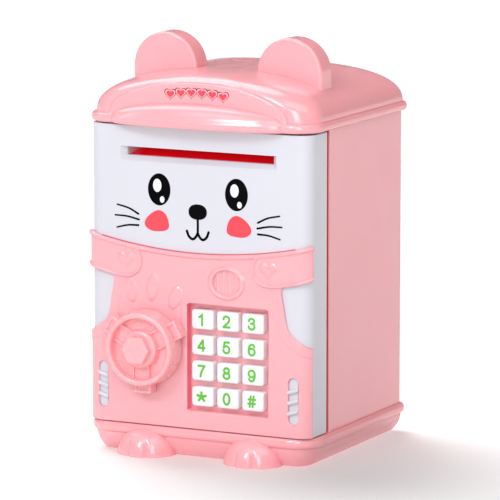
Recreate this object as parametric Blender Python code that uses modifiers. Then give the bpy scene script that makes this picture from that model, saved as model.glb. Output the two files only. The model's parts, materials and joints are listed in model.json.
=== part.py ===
"""Toy safe coin bank: a hollow animal-faced money box with a keypad door, a turning knob that throws
a latch bolt, and a motor-driven banknote feed.

Frame: +X to the right of someone facing the door, +Y to the back, +Z up. The origin is on the
surface the bank stands on, midway between the sides and 54.5 mm behind the door's face. Driving dimensions are in millimetres, and the
helpers turn them into metres.
"""
import math

import bmesh
import bpy
from mathutils import Matrix

MM = 0.001
GAP = 0.3                       # clearance between neighbouring pieces
WALL = 2.2                      # moulded wall of the base, housing and roof

# Body
HALF_WIDTH = 62.0
FRONT = -54.5
BACK = 57.0
CORNER = 7.5                    # front vertical corners of the door
BACK_CORNER = 2.8               # back vertical corners of the housing
BASE_TOP = 15.0
BODY_TOP = 168.4
ROOF_BOTTOM = 168.7
RIM_TOP = 173.6
CROWN = 195.2

# Door
DOOR_FRONT = FRONT
DOOR_BACK = -33.2
DOOR_BOTTOM = 15.4
DOOR_TOP = 167.9
DOOR_WALL = 2.0
DOOR_INSIDE = DOOR_FRONT + DOOR_WALL
COVER_INSIDE = DOOR_BACK - DOOR_WALL
HOUSING_FRONT = -32.2
HINGE_X = 59.0
HINGE_Y = -36.2
HINGE_RADIUS = HALF_WIDTH - HINGE_X

# Pink overlay panel on the door
PANEL_THICKNESS = 1.4
PANEL_FRONT = DOOR_FRONT - GAP - PANEL_THICKNESS
PANEL_TOP_MIDDLE = 105.0
PANEL_TOP_RISE = 7.5
WRAP_ANGLE = math.radians(24)    # how far the panel stops short of the door's sides

# Keypad
KEY_COLUMNS = 3
KEY_ROWS = 4
KEY_PITCH_X = 14.1
KEY_PITCH_Z = 13.15
KEY_WIDTH = 12.2
KEY_HEIGHT = 10.0
KEYPAD_X = 17.0
KEYPAD_Z = 52.05
KEYPAD_HALF_X = 22.8
KEYPAD_HALF_Z = 27.45
TUB_WALL = 1.0
TUB_FLOOR_FRONT = -51.2
TUB_FLOOR_BACK = -49.7

# Knob and latch
KNOB_X = -27.5
KNOB_Z = 55.8
KNOB_RADIUS = 19.0
KNOB_BACK = PANEL_FRONT - GAP
KNOB_FRONT = -67.8
SHAFT_RADIUS = 4.0
CRANK_RADIUS = 5.0
CRANK_ANGLE = math.radians(40)
BOLT_FRONT = -29.3
BOLT_BACK = -26.3

# Banknote slot and feed
SLOT_HALF_WIDTH = 41.0
SLOT_LOW = 152.4
SLOT_HIGH = 156.8
FEED_Y = -23.8
DRIVE_Z = 149.5
IDLER_Z = 159.7
ROLLER_RADIUS = 5.0
GEAR_MODULE = 0.6
GEAR_TEETH = 28
PINION_TEETH = 12
MOTOR_Z = DRIVE_Z - (GEAR_TEETH + PINION_TEETH) * GEAR_MODULE / 2 - 0.25

# Batteries, on the back of the door
CELL_RADIUS = 7.1
CELL_LENGTH = 50.5
CELL_X = 17.0
CELL_Y = -25.7
CELL_HEIGHTS = (32.0, 47.2, 62.4)
BOX_X = (-13.0, 47.0)
BOX_Z = (22.7, 71.7)
BOX_BACK = -18.2
BOX_WALL = 1.6

# Ears, paws and screws
EAR_X = 35.0
EAR_Z = 194.0
EAR_ROOT = 180.0
EAR_RADIUS = 18.0
EAR_FRONT = -22.5
EAR_BACK = -9.0
PAW_X = 30.2
PAW_Y = -52.8
PAW_SIZE = (15.6, 13.2, 13.5)
BASE_SCREWS = [(x, y) for x in (-52.5, 52.5) for y in (-18.0, 46.0)]
COVER_SCREWS = [(-52.0, 22.0), (-52.0, 161.5), (51.5, 22.0), (51.5, 161.5)]

PINK = (0.90, 0.42, 0.48)
WHITE = (0.86, 0.86, 0.90)
RED = (0.62, 0.01, 0.02)
STEEL = (0.60, 0.60, 0.62)
DARK = (0.04, 0.04, 0.05)
GREEN = (0.03, 0.25, 0.10)
BRASS = (0.75, 0.55, 0.20)
GREY = (0.45, 0.45, 0.47)

for old in list(bpy.data.objects):
    bpy.data.objects.remove(old, do_unlink=True)

PARTS = bpy.data.collections.new("toy_safe_coin_bank")
CUTTERS = bpy.data.collections.new("cutters")
bpy.context.scene.collection.children.link(PARTS)
bpy.context.scene.collection.children.link(CUTTERS)
MATERIALS = {}
# Rotations that lay a flat outline or a turned profile along an axis.
FLAT_TURN = {"Z": (0, 0, 0), "Y": (math.pi / 2, 0, 0), "X": (math.pi / 2, 0, math.pi / 2)}
ROUND_TURN = {"Z": (0, 0, 0), "-Y": (math.pi / 2, 0, 0), "Y": (-math.pi / 2, 0, 0),
              "X": (0, math.pi / 2, 0)}


# ---------------------------------------------------------------- helpers

def material(name, colour, roughness=0.35, metallic=0.0):
    """The named plastic or metal, made once."""
    if name not in MATERIALS:
        made = bpy.data.materials.new(name)
        made.use_nodes = True
        shader = made.node_tree.nodes["Principled BSDF"]
        shader.inputs["Base Color"].default_value = (*colour, 1.0)
        shader.inputs["Roughness"].default_value = roughness
        shader.inputs["Metallic"].default_value = metallic
        MATERIALS[name] = made
    return MATERIALS[name]


def finish(obj, name, colour, roughness=0.35, metallic=0.0):
    """Give a sub-part its material and smooth shading."""
    obj.data.materials.clear()
    obj.data.materials.append(material(name, colour, roughness, metallic))
    obj.data.shade_smooth()
    obj.data.set_sharp_from_angle(angle=math.radians(35))
    return obj


def add_object(name, mesh, cutter=False):
    obj = bpy.data.objects.new(name, mesh)
    (CUTTERS if cutter else PARTS).objects.link(obj)
    if cutter:
        obj.hide_render = True
        obj.display_type = "WIRE"
    return obj


def mesh_from(name, bm):
    bmesh.ops.remove_doubles(bm, verts=bm.verts, dist=1e-7)
    bmesh.ops.recalc_face_normals(bm, faces=bm.faces)
    mesh = bpy.data.meshes.new(name)
    bm.to_mesh(mesh)
    bm.free()
    return mesh


def box(name, x, y, z, cutter=False):
    """A block between (low, high) pairs."""
    middle = [(low + high) / 2 * MM for low, high in (x, y, z)]
    size = [(high - low) * MM for low, high in (x, y, z)]
    bm = bmesh.new()
    bmesh.ops.create_cube(bm, size=1.0, matrix=Matrix.Diagonal((*size, 1.0)))
    obj = add_object(name, mesh_from(name, bm), cutter)
    obj.location = middle
    return obj


def rods(name, places, radius, low, high, axis="Z", segments=20, cutter=False):
    """One or more round rods of one size, side by side; places are the two other coordinates."""
    bm = bmesh.new()
    for u, v in places:
        if axis == "Z":
            spot = Matrix.Translation((u * MM, v * MM, (low + high) / 2 * MM))
        elif axis == "Y":
            spot = Matrix.Translation((u * MM, (low + high) / 2 * MM, v * MM))
            spot = spot @ Matrix.Rotation(math.pi / 2, 4, "X")
        else:
            spot = Matrix.Translation(((low + high) / 2 * MM, u * MM, v * MM))
            spot = spot @ Matrix.Rotation(math.pi / 2, 4, "Y")
        bmesh.ops.create_cone(bm, cap_ends=True, segments=segments, radius1=radius * MM,
                              radius2=radius * MM, depth=(high - low) * MM, matrix=spot)
    return add_object(name, mesh_from(name, bm), cutter)


def plate(name, outlines, low, high, axis="Z", cutter=False):
    """A flat prism between low and high on an axis: an outline, then any holes in it."""
    curve = bpy.data.curves.new(name, "CURVE")
    curve.dimensions = "2D"
    curve.fill_mode = "BOTH"
    curve.extrude = (high - low) / 2 * MM
    for outline in outlines:
        spline = curve.splines.new("POLY")
        spline.points.add(len(outline) - 1)
        for point, (u, v) in zip(spline.points, outline):
            point.co = (u * MM, v * MM, 0.0, 1.0)
        spline.use_cyclic_u = True
    drawn = bpy.data.objects.new(name + "_curve", curve)
    bpy.context.scene.collection.objects.link(drawn)
    bpy.context.view_layer.update()
    flat = bpy.data.meshes.new_from_object(drawn.evaluated_get(bpy.context.evaluated_depsgraph_get()))
    bm = bmesh.new()
    bm.from_mesh(flat)
    bpy.data.objects.remove(drawn, do_unlink=True)
    bpy.data.curves.remove(curve)
    bpy.data.meshes.remove(flat)
    obj = add_object(name, mesh_from(name, bm), cutter)
    obj.rotation_euler = FLAT_TURN[axis]
    obj.location["XYZ".index(axis)] = (low + high) / 2 * MM
    return obj


def loft(name, rings, cutter=False):
    """A closed skin over rings with equal numbers of points, from the lowest to the last."""
    bm = bmesh.new()
    loops = [[bm.verts.new([c * MM for c in point]) for point in ring] for ring in rings]
    count = len(loops[0])
    for lower, upper in zip(loops, loops[1:]):
        for i in range(count):
            j = (i + 1) % count
            bm.faces.new((lower[i], lower[j], upper[j], upper[i]))
    bm.faces.new(loops[0][::-1])
    bm.faces.new(loops[-1])
    return add_object(name, mesh_from(name, bm), cutter)


def turned(name, profile, axis, place, steps=24, cutter=False):
    """A turned piece. The profile is (radius, height) from the top down its outer side."""
    mesh = bpy.data.meshes.new(name)
    points = [(radius * MM, 0.0, height * MM) for radius, height in profile]
    mesh.from_pydata(points, [(i, i + 1) for i in range(len(points) - 1)], [])
    obj = add_object(name, mesh, cutter)
    screw = obj.modifiers.new("turn", "SCREW")
    screw.axis = "Z"
    screw.steps = steps
    screw.render_steps = steps
    screw.use_merge_vertices = True
    screw.merge_threshold = 0.00001
    obj.rotation_euler = ROUND_TURN[axis]
    obj.location = [c * MM for c in place]
    return obj


def combine(obj, other, operation):
    modifier = obj.modifiers.new(operation.lower(), "BOOLEAN")
    modifier.operation = operation
    modifier.object = other
    modifier.solver = "EXACT"
    return obj


def cut(obj, *tools):
    for tool in tools:
        combine(obj, tool, "DIFFERENCE")


def fuse(obj, *lumps):
    for lump in lumps:
        combine(obj, lump, "UNION")


def arc(centre, radius, start, end, steps):
    """Points on a circle between two angles in degrees."""
    angles = [math.radians(start + (end - start) * i / steps) for i in range(steps + 1)]
    return [(centre[0] + radius * math.cos(a), centre[1] + radius * math.sin(a)) for a in angles]


def rectangle(x, z):
    return [(x[0], z[0]), (x[1], z[0]), (x[1], z[1]), (x[0], z[1])]


def rounded_ring(half_x, front, back, front_radius, back_radius, z, steps=4):
    """A level rectangle from y = front to y = back, rounder at its front corners."""
    ring = []
    for sign, start, radius, y in ((1, 0, back_radius, back - back_radius),
                                   (-1, 90, back_radius, back - back_radius),
                                   (-1, 180, front_radius, front + front_radius),
                                   (1, 270, front_radius, front + front_radius)):
        middle = (sign * (half_x - radius), y)
        ring += [(x, y, z) for x, y in arc(middle, radius, start, start + 90, steps)]
    return ring


def offset_ring(offset, z, front_corner=12.0, back_corner=3.0):
    """The body's outline, moved out by offset; the corner radii are those at no offset."""
    return rounded_ring(HALF_WIDTH + offset, FRONT - offset, BACK + offset, front_corner + offset,
                        max(back_corner + offset, 1.2), z)


def roof_ring(offset, z):
    return offset_ring(offset, z, 11.5, 1.2)


def pivot(name, place, parent=None):
    """An empty on a joint's axis."""
    empty = bpy.data.objects.new(name, None)
    empty.empty_display_size = 0.01
    PARTS.objects.link(empty)
    empty.location = [c * MM for c in place]
    if parent:
        attach(parent, empty)
    return empty


def attach(parent, *children):
    """Parent the children where they stand."""
    bpy.context.view_layer.update()
    for child in children:
        child.parent = parent
        child.matrix_parent_inverse = parent.matrix_world.inverted()
    bpy.context.view_layer.update()


# ---------------------------------------------------------------- body

def make_base_tray():
    """Tray under the body, with a bead round its top edge and two paws moulded on its front."""
    skin = [(-4.9, 0.0), (-3.8, 0.4), (-2.6, 1.5), (-0.9, 4.2), (0.5, 7.8), (0.8, 9.8), (1.7, 10.4),
            (2.4, 11.6), (2.4, 13.4), (1.7, 14.6), (0.7, BASE_TOP)]
    tray = loft("base_tray", [offset_ring(offset, z) for offset, z in skin])
    for side in (-1, 1):
        bm = bmesh.new()
        bmesh.ops.create_uvsphere(bm, u_segments=18, v_segments=10, radius=1.0)
        bmesh.ops.scale(bm, verts=bm.verts, vec=[size * MM for size in PAW_SIZE])
        paw = add_object("paw_lump", mesh_from("paw_lump", bm), cutter=True)
        paw.location = (side * PAW_X * MM, PAW_Y * MM, 0.0)
        fuse(tray, paw)
    cut(tray, box("below_floor", (-90, 90), (-90, 90), (-30, 0), cutter=True))
    hollow = [(-7.0, WALL), (-4.2, 5.0), (-2.6, 9.0), (-WALL, BASE_TOP + 1)]
    cut(tray, loft("tray_hollow", [offset_ring(offset, z) for offset, z in hollow], cutter=True))
    fuse(tray, rods("screw_cups", BASE_SCREWS, 5.0, 1.0, 5.5, segments=16, cutter=True))
    fuse(tray, rods("lower_hinge_boss", [(HINGE_X, HINGE_Y)], 3.0, 7.2, BASE_TOP - 0.01, cutter=True))
    cut(tray, rods("screw_counterbores", BASE_SCREWS, 3.3, -1.0, 3.0, segments=14, cutter=True))
    cut(tray, rods("screw_clearances", BASE_SCREWS, 1.8, 2.0, 7.0, segments=10, cutter=True))
    cut(tray, rods("lower_pin_socket", [(HINGE_X, HINGE_Y)], 1.55, 8.0, 17.0, segments=12, cutter=True))
    return finish(tray, "pink_plastic", PINK)


def make_housing():
    """Three-sided shell behind the door, with an inward lip that the latch bolt catches behind."""
    low, high = BASE_TOP + GAP, BODY_TOP
    edge, lip, inner = 1.2, 55.5, HALF_WIDTH - WALL
    corner = (HALF_WIDTH - BACK_CORNER, BACK - BACK_CORNER)
    right_out = arc((HALF_WIDTH - edge, HOUSING_FRONT + edge), edge, -90, 0, 3)
    right_out += arc(corner, BACK_CORNER, 0, 90, 5)
    right_in = arc(corner, BACK_CORNER - WALL, 90, 0, 3)
    right_in += [(inner, HOUSING_FRONT + 2.4), (lip, HOUSING_FRONT + 2.4), (lip, HOUSING_FRONT)]
    outer = right_out + [(-x, y) for x, y in reversed(right_out)]
    hollow = [(-x, y) for x, y in reversed(right_in)] + right_in
    shell = plate("housing_shell", [outer + hollow], low, high)
    for number, (x, y) in enumerate(BASE_SCREWS):
        side = math.copysign(1, x)
        post = rods(f"post_{number}", [(x, y)], 4.4, 5.8, 30.0, cutter=True)
        web = sorted((x + side * 3.5, side * (inner + 0.8)))
        rib = box(f"post_rib_{number}", web, (y - 1.2, y + 1.2), (low + 1, 29.0), cutter=True)
        fuse(shell, post, rib)
    cut(shell, rods("pilot_holes", BASE_SCREWS, 1.55, 5.0, 20.0, segments=12, cutter=True))
    return finish(shell, "pink_plastic", PINK)


def dome_rings(inset, steps):
    """Level rings of the vaulted roof, which is rounder across than it is from front to back."""
    rings = []
    height = CROWN - RIM_TOP - inset
    for step in range(steps + 1):
        t = math.sin(math.pi / 2 * step / steps) * 0.995
        half_x = (63.0 - inset) * (1 - t ** 2.26) ** (1 / 2.26)
        front = (-54.6 + inset) * (1 - t ** 5.0) ** (1 / 5.0)
        back = (56.8 - inset) * (1 - t ** 3.6) ** (1 / 3.6)
        most = 0.98 * min(half_x, -front, back)
        rings.append(rounded_ring(half_x, front, back, min(14.6 + 11.4 * t * t, most),
                                  min(2.9 + 11.0 * t * t, most), RIM_TOP + height * t))
    return rings


def ellipse_ring(half_x, half_y, middle_y, z, count=32):
    angles = [2 * math.pi * i / count for i in range(count)]
    return [(half_x * math.cos(a), middle_y + half_y * math.sin(a), z) for a in angles]


def make_roof():
    """Vaulted roof with a bead round its rim, an arched front band, a visor and two ears."""
    rim = [(0.6, ROOF_BOTTOM), (2.0, 169.4), (2.4, 171.0), (2.1, 172.6), (1.1, 173.4)]
    roof = loft("roof_cover", [roof_ring(offset, z) for offset, z in rim] + dome_rings(0.0, 9))
    half_arch = [(50 * math.cos(a), 173.0 + 18.1 * math.sin(a)) for a in
                 [math.pi * i / 20 for i in range(21)]] + [(-50, 171.0), (50, 171.0)]
    band = plate("front_band", [half_arch], DOOR_FRONT - 1.0, -38.0, "Y", cutter=True)
    brim = [(47.5, 8.6, ROOF_BOTTOM), (48.6, 9.8, 169.6), (48.8, 10.2, 171.6), (48.0, 9.6, 173.0),
            (44.0, 8.2, 175.6), (36.0, 6.4, 178.0), (22.0, 3.8, 180.0), (8.0, 1.6, 180.7)]
    visor = loft("visor", [ellipse_ring(a, b, DOOR_FRONT - 0.5, z) for a, b, z in brim], cutter=True)
    fuse(roof, band, visor)
    for side in (-1, 1):
        ear = arc((side * EAR_X, EAR_Z), EAR_RADIUS, 0, 180, 20)
        ear += [(side * EAR_X - EAR_RADIUS, EAR_ROOT), (side * EAR_X + EAR_RADIUS, EAR_ROOT)]
        fuse(roof, plate("ear", [ear], EAR_FRONT, EAR_BACK, "Y", cutter=True))
    inside = [roof_ring(-2.4, ROOF_BOTTOM - 1), roof_ring(-2.6, RIM_TOP - 0.5)]
    cut(roof, loft("roof_hollow", inside + dome_rings(2.4, 7), cutter=True))
    boss = rods("upper_hinge_boss", [(HINGE_X, HINGE_Y)], 3.0, ROOF_BOTTOM + 0.01, 176.0, cutter=True)
    fuse(roof, boss)
    cut(roof, rods("upper_pin_socket", [(HINGE_X, HINGE_Y)], 1.55, 160.0, 174.6, segments=12, cutter=True))
    cut(roof, box("coin_slot", (-15.0, 15.0), (9.7, 14.3), (185.0, 205.0), cutter=True))
    return finish(roof, "pink_plastic", PINK)


def make_fasteners():
    """Hinge pins and the screws that hold the base on; each screw's head is at its lower end."""
    upper = rods("hinge_pin_upper", [(HINGE_X, HINGE_Y)], 1.25, 158.0, 174.3, segments=16)
    lower = rods("hinge_pin_lower", [(HINGE_X, HINGE_Y)], 1.25, 8.3, 25.0, segments=16)
    finish(upper, "steel", STEEL, 0.3, 1.0)
    finish(lower, "steel", STEEL, 0.3, 1.0)
    profile = [(0, 17.5), (1.0, 17.5), (1.25, 16.8), (1.25, 2.7), (2.9, 2.2), (2.9, 1.0), (0, 1.0)]
    for number, (x, y) in enumerate(BASE_SCREWS, 1):
        screw = turned(f"base_screw_{number}", profile, "Z", (x, y, 0), steps=12)
        finish(screw, "steel", STEEL, 0.3, 1.0)


# ---------------------------------------------------------------- door

def door_outline(inset):
    """Plan of the door: big front corners, and a small round one about the hinge axis."""
    x, front, back = HALF_WIDTH - inset, DOOR_FRONT + inset, DOOR_BACK - inset
    corner = CORNER - inset
    outline = arc((-x + corner, front + corner), corner, 180, 270, 6)
    outline += arc((x - corner, front + corner), corner, 270, 360, 6)
    if inset:
        outline += [(x, -42.0), (55.9, -42.0), (55.9, back + 4), (-x, back + 4)]
    else:
        outline += arc((HINGE_X, HINGE_Y), HINGE_RADIUS, 0, 90, 4) + [(-x, back)]
    return outline


def make_door_shell():
    """White door moulding: front, sides, a hinge column, screw bosses and the note slot's mouth."""
    shell = plate("door_shell", [door_outline(0.0)], DOOR_BOTTOM, DOOR_TOP)
    hollow = plate("door_hollow", [door_outline(DOOR_WALL)], DOOR_BOTTOM + DOOR_WALL,
                   DOOR_TOP - DOOR_WALL, cutter=True)
    cut(shell, hollow)
    bosses = rods("door_bosses", COVER_SCREWS, 3.2, DOOR_INSIDE - 0.4, COVER_INSIDE - GAP, "Y",
                  segments=14, cutter=True)
    frame = box("slot_frame", (-46, 46), (DOOR_INSIDE - 0.4, -50.0), (148.6, 159.6), cutter=True)
    fuse(shell, bosses, frame)
    for side in (-1, 1):
        for z in (28.0, 34.6, 41.2):
            rib = box("window_rib", sorted((side * 51.7, side * 54.9)), (-55.5, DOOR_FRONT + 0.5),
                      (z - 0.7, z + 0.7), cutter=True)
            fuse(shell, rib)
    mouth = [[(-43.7, -54.6, 150.0), (43.7, -54.6, 150.0), (43.7, -54.6, 157.0), (-43.7, -54.6, 157.0)],
             [(-SLOT_HALF_WIDTH, -51.6, SLOT_LOW), (SLOT_HALF_WIDTH, -51.6, SLOT_LOW),
              (SLOT_HALF_WIDTH, -51.6, SLOT_HIGH), (-SLOT_HALF_WIDTH, -51.6, SLOT_HIGH)]]
    funnel = loft("slot_funnel", mouth, cutter=True)
    throat = box("slot_throat", (-SLOT_HALF_WIDTH, SLOT_HALF_WIDTH), (-53.0, -49.0),
                 (SLOT_LOW, SLOT_HIGH), cutter=True)
    tub = box("tub_opening", (KEYPAD_X - 24.2, KEYPAD_X + 24.2), (-60, -52.0),
              (KEYPAD_Z - 28.85, KEYPAD_Z + 28.85), cutter=True)
    shaft = rods("shaft_opening", [(KNOB_X, KNOB_Z)], 4.6, -60, -50, "Y", cutter=True)
    speaker = rods("speaker_opening", [(16.7, 91.4)], 7.0, -60, -52.0, "Y", cutter=True)
    pilots = rods("boss_pilots", COVER_SCREWS, 1.5, -46.0, -30.0, "Y", segments=10, cutter=True)
    upper = rods("upper_pin_hole", [(HINGE_X, HINGE_Y)], 1.55, 157.5, 170.0, segments=12, cutter=True)
    lower = rods("lower_pin_hole", [(HINGE_X, HINGE_Y)], 1.55, 12.0, 25.3, segments=12, cutter=True)
    cut(shell, funnel, throat, tub, shaft, speaker, pilots, upper, lower)
    return finish(shell, "white_plastic", WHITE)


def panel_top(x):
    return PANEL_TOP_MIDDLE + PANEL_TOP_RISE * (x / HALF_WIDTH) ** 2


def make_front_panel():
    """Pink overlay: wraps the door's front corners, holds the keypad tub, and leaves cut-outs."""
    near, far = CORNER + GAP, CORNER + GAP + PANEL_THICKNESS
    wrap = math.degrees(WRAP_ANGLE)
    middle = (HALF_WIDTH - CORNER, DOOR_FRONT + CORNER)
    right = arc(middle, far, 270, 360 - wrap, 6) + arc(middle, near, 360 - wrap, 270, 6)
    left = [(-x, y) for x, y in reversed(right)]
    panel = plate("front_panel", [right + left], DOOR_BOTTOM, 120.0)
    columns = [i * 6.5 for i in range(-10, 11)]
    above = [(x, panel_top(x)) for x in columns] + [(65, 130), (-65, 130)]
    cut(panel, plate("above_panel", [above], -70, -30, "Y", cutter=True))
    sleeve = [(47.9, 91.2), (47.0, 88.6), (47.9, 82.3), (49.2, 75.5), (50.2, 71.1), (51.5, 68.7),
              (53.2, 66.8), (56.0, 64.9), (58.8, 63.2), (61.2, 61.8), (62.8, 61.2), (70.0, 58.8),
              (70.0, 97.5), (62.5, 95.0), (59.5, 93.9), (55.6, 92.8)]
    for side in (-1, 1):
        outline = [(side * x, z) for x, z in sleeve]
        pill = arc((side * 53.7, 44.0), 2.5, 0, 180, 6) + arc((side * 53.7, 25.2), 2.5, 180, 360, 6)
        cut(panel, plate("sleeve_opening", [outline], -70, -30, "Y", cutter=True))
        cut(panel, plate("window_opening", [pill], -70, -30, "Y", cutter=True))
    tub_x, tub_z = KEYPAD_HALF_X + TUB_WALL, KEYPAD_HALF_Z + TUB_WALL
    fuse(panel, box("tub_block", (KEYPAD_X - tub_x, KEYPAD_X + tub_x), (PANEL_FRONT + 0.5, TUB_FLOOR_BACK),
                    (KEYPAD_Z - tub_z, KEYPAD_Z + tub_z), cutter=True))
    cut(panel, box("tub_hollow", (KEYPAD_X - KEYPAD_HALF_X, KEYPAD_X + KEYPAD_HALF_X),
                   (-60, TUB_FLOOR_FRONT), (KEYPAD_Z - KEYPAD_HALF_Z, KEYPAD_Z + KEYPAD_HALF_Z), cutter=True))
    clear_x, clear_z = KEY_WIDTH / 2 + 0.35, KEY_HEIGHT / 2 + 0.35
    for _, x, z in key_places():
        cut(panel, box("key_hole", (x - clear_x, x + clear_x), (-54, -48), (z - clear_z, z + clear_z),
                       cutter=True))
    cut(panel, rods("knob_hole", [(KNOB_X, KNOB_Z)], 4.6, -60, -50, "Y", cutter=True))
    for i in range(-2, 3):
        half = 5.0 - 0.8 * abs(i)
        cut(panel, box("grille_slot", (16.2 + 2.4 * i, 17.2 + 2.4 * i), (-60, -54.7),
                       (91.4 - half, 91.4 + half), cutter=True))
    return finish(panel, "pink_plastic", PINK)


def make_back_cover():
    """Cover that closes the door, with the battery box and the bolt's guide rails moulded on it."""
    cover = box("door_back_cover", (-59.7, 55.6), (COVER_INSIDE, DOOR_BACK), (17.7, 165.6))
    walls = box("battery_walls", BOX_X, (DOOR_BACK - 0.5, BOX_BACK), BOX_Z, cutter=True)
    hollow = box("battery_hollow", (BOX_X[0] + BOX_WALL, BOX_X[1] - BOX_WALL), (DOOR_BACK, BOX_BACK + 1),
                 (BOX_Z[0] + BOX_WALL, BOX_Z[1] - BOX_WALL), cutter=True)
    fuse(cover, walls)
    cut(cover, hollow)
    upper = [(-33.7, 65.4), (-26.0, 65.4), (-26.0, 63.4), (-24.4, 63.4), (-24.4, 67.4), (-33.7, 67.4)]
    lower = [(-33.7, 48.6), (-26.0, 48.6), (-26.0, 50.6), (-24.4, 50.6), (-24.4, 46.6), (-33.7, 46.6)]
    fuse(cover, plate("upper_rail_outer", [upper], -50, -44, "X", cutter=True),
         plate("upper_rail_inner", [upper], -36, -18, "X", cutter=True),
         plate("lower_rail", [lower], -50, -18, "X", cutter=True))
    cut(cover, box("duct_opening", (-43.7, 43.7), (-40, -30), (150.2, 159.0), cutter=True),
        rods("crank_opening", [(KNOB_X, KNOB_Z)], 4.6, -40, -30, "Y", cutter=True),
        rods("cover_counterbores", COVER_SCREWS, 2.8, -34.4, -30, "Y", segments=16, cutter=True),
        rods("cover_clearances", COVER_SCREWS, 1.5, -40, -30, "Y", segments=10, cutter=True))
    return finish(cover, "white_plastic", WHITE)


def make_note_guide():
    guide = box("note_guide", (-43.3, 43.3), (-49.6, -33.5), (150.6, 158.6))
    cut(guide, box("guide_throat", (-SLOT_HALF_WIDTH, SLOT_HALF_WIDTH), (-52, -30),
                   (SLOT_LOW, SLOT_HIGH), cutter=True))
    return finish(guide, "red_plastic", RED)


def make_feed_frame():
    """Bracket on the back of the door that carries the rollers and the motor."""
    frame = box("note_feed_frame", (-48, 48), (-32.9, -16.5), (131, 166.5))
    cut(frame, box("frame_hollow", (-46, 46), (-40, -10), (120, 165.0), cutter=True))
    cut(frame, rods("roller_bearings", [(FEED_Y, DRIVE_Z), (FEED_Y, IDLER_Z)], 1.8, -60, 60, "X",
                    segments=14, cutter=True))
    cut(frame, rods("motor_nose_hole", [(FEED_Y, MOTOR_Z)], 1.4, 40, 60, "X", segments=12, cutter=True))
    return finish(frame, "white_plastic", WHITE)


def make_electrics():
    """The still pieces inside the door."""
    mat = box("keypad_mat", (KEYPAD_X - 24, KEYPAD_X + 24), (-46.6, -45.6), (KEYPAD_Z - 28, KEYPAD_Z + 28))
    finish(mat, "grey_rubber", GREY, 0.8)
    board = box("circuit_board", (KEYPAD_X - 25, KEYPAD_X + 25), (-45.2, -43.6), (21.0, 84.0))
    finish(board, "circuit_board", GREEN, 0.5)
    cone = [(0, 5.2), (7.0, 5.2), (10.0, 4.6), (10.0, 3.4), (6.5, 2.4), (6.5, 0.0), (0, 0.0)]
    speaker = turned("speaker", cone, "-Y", (16.7, -47.0, 91.4))
    finish(speaker, "dark_plastic", DARK, 0.6)
    motor = box("note_motor", (21.7, 45.7), (FEED_Y - 6, FEED_Y + 6), (MOTOR_Z - 5, MOTOR_Z + 5))
    finish(motor, "steel", STEEL, 0.3, 1.0)
    solenoid = box("lock_solenoid", (-47, -33), (-32.9, -22.0), (75, 93))
    cut(solenoid, rods("solenoid_bore", [(-40, -27.8)], 2.3, 70, 90, segments=16, cutter=True))
    finish(solenoid, "dark_plastic", DARK, 0.6)
    cell = [(0, CELL_LENGTH / 2), (2.7, CELL_LENGTH / 2), (2.7, CELL_LENGTH / 2 - 1.0),
            (CELL_RADIUS, CELL_LENGTH / 2 - 1.2), (CELL_RADIUS, -CELL_LENGTH / 2), (0, -CELL_LENGTH / 2)]
    cells = []
    for number, z in enumerate(CELL_HEIGHTS, 1):
        battery = turned(f"battery_{number}", cell, "X", (CELL_X, CELL_Y, z), steps=20)
        cells.append(finish(battery, "battery_sleeve", DARK, 0.4))
    contacts = []
    inner_low, inner_high = BOX_X[0] + BOX_WALL, BOX_X[1] - BOX_WALL
    for name, low, high, nib in (("battery_contact_plus", inner_high - 1.1, inner_high - GAP, -1),
                                 ("battery_contact_minus", inner_low + GAP, inner_low + 1.1, 1)):
        contact = box(name, (low, high), (-32.5, -19.5), (26.0, 69.0))
        reach = (low - 0.8, low + 0.2) if nib < 0 else (high - 0.2, high + 1.6)
        fuse(contact, rods(name + "_nibs", [(CELL_Y, z) for z in CELL_HEIGHTS], 2.4, *reach, "X",
                           segments=12, cutter=True))
        contacts.append(finish(contact, "steel", STEEL, 0.3, 1.0))
    screws = []
    profile = [(0, 0.8), (2.4, 0.8), (2.4, 0.0), (1.2, -0.1), (1.2, -8.0), (0, -8.5)]
    for number, (x, z) in enumerate(COVER_SCREWS, 1):
        screw = turned(f"cover_screw_{number}", profile, "Y", (x, -34.1, z), steps=12)
        screws.append(finish(screw, "steel", STEEL, 0.3, 1.0))
    return [mat, board, speaker, motor, solenoid] + cells + contacts + screws


# ---------------------------------------------------------------- moving pieces of the door

def key_places():
    """Name suffix and place of each key, from the top left."""
    names = ["1", "2", "3", "4", "5", "6", "7", "8", "9", "star", "0", "hash"]
    for index, name in enumerate(names):
        row, column = divmod(index, KEY_COLUMNS)
        x = KEYPAD_X + (column - (KEY_COLUMNS - 1) / 2) * KEY_PITCH_X
        z = KEYPAD_Z + ((KEY_ROWS - 1) / 2 - row) * KEY_PITCH_Z
        yield name, x, z


def make_keys():
    """Caps that pass through the tub's floor, each with a flange behind it."""
    keys = []
    for name, x, z in key_places():
        half_x, half_z = KEY_WIDTH / 2, KEY_HEIGHT / 2
        sections = [(0.55, 0.55, -48.2), (0.55, 0.55, -49.3), (0.0, 0.0, -49.3), (0.0, 0.0, -54.9),
                    (-0.7, -0.7, -55.7)]
        rings = [[(sx * (half_x + dx), y, sz * (half_z + dz)) for sx, sz in
                  ((-1, -1), (1, -1), (1, 1), (-1, 1))] for dx, dz, y in sections]
        key = loft(f"key_{name}", rings)
        key.location = (x * MM, 0.0, z * MM)
        keys.append(finish(key, "white_plastic", WHITE))
    return keys


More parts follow.
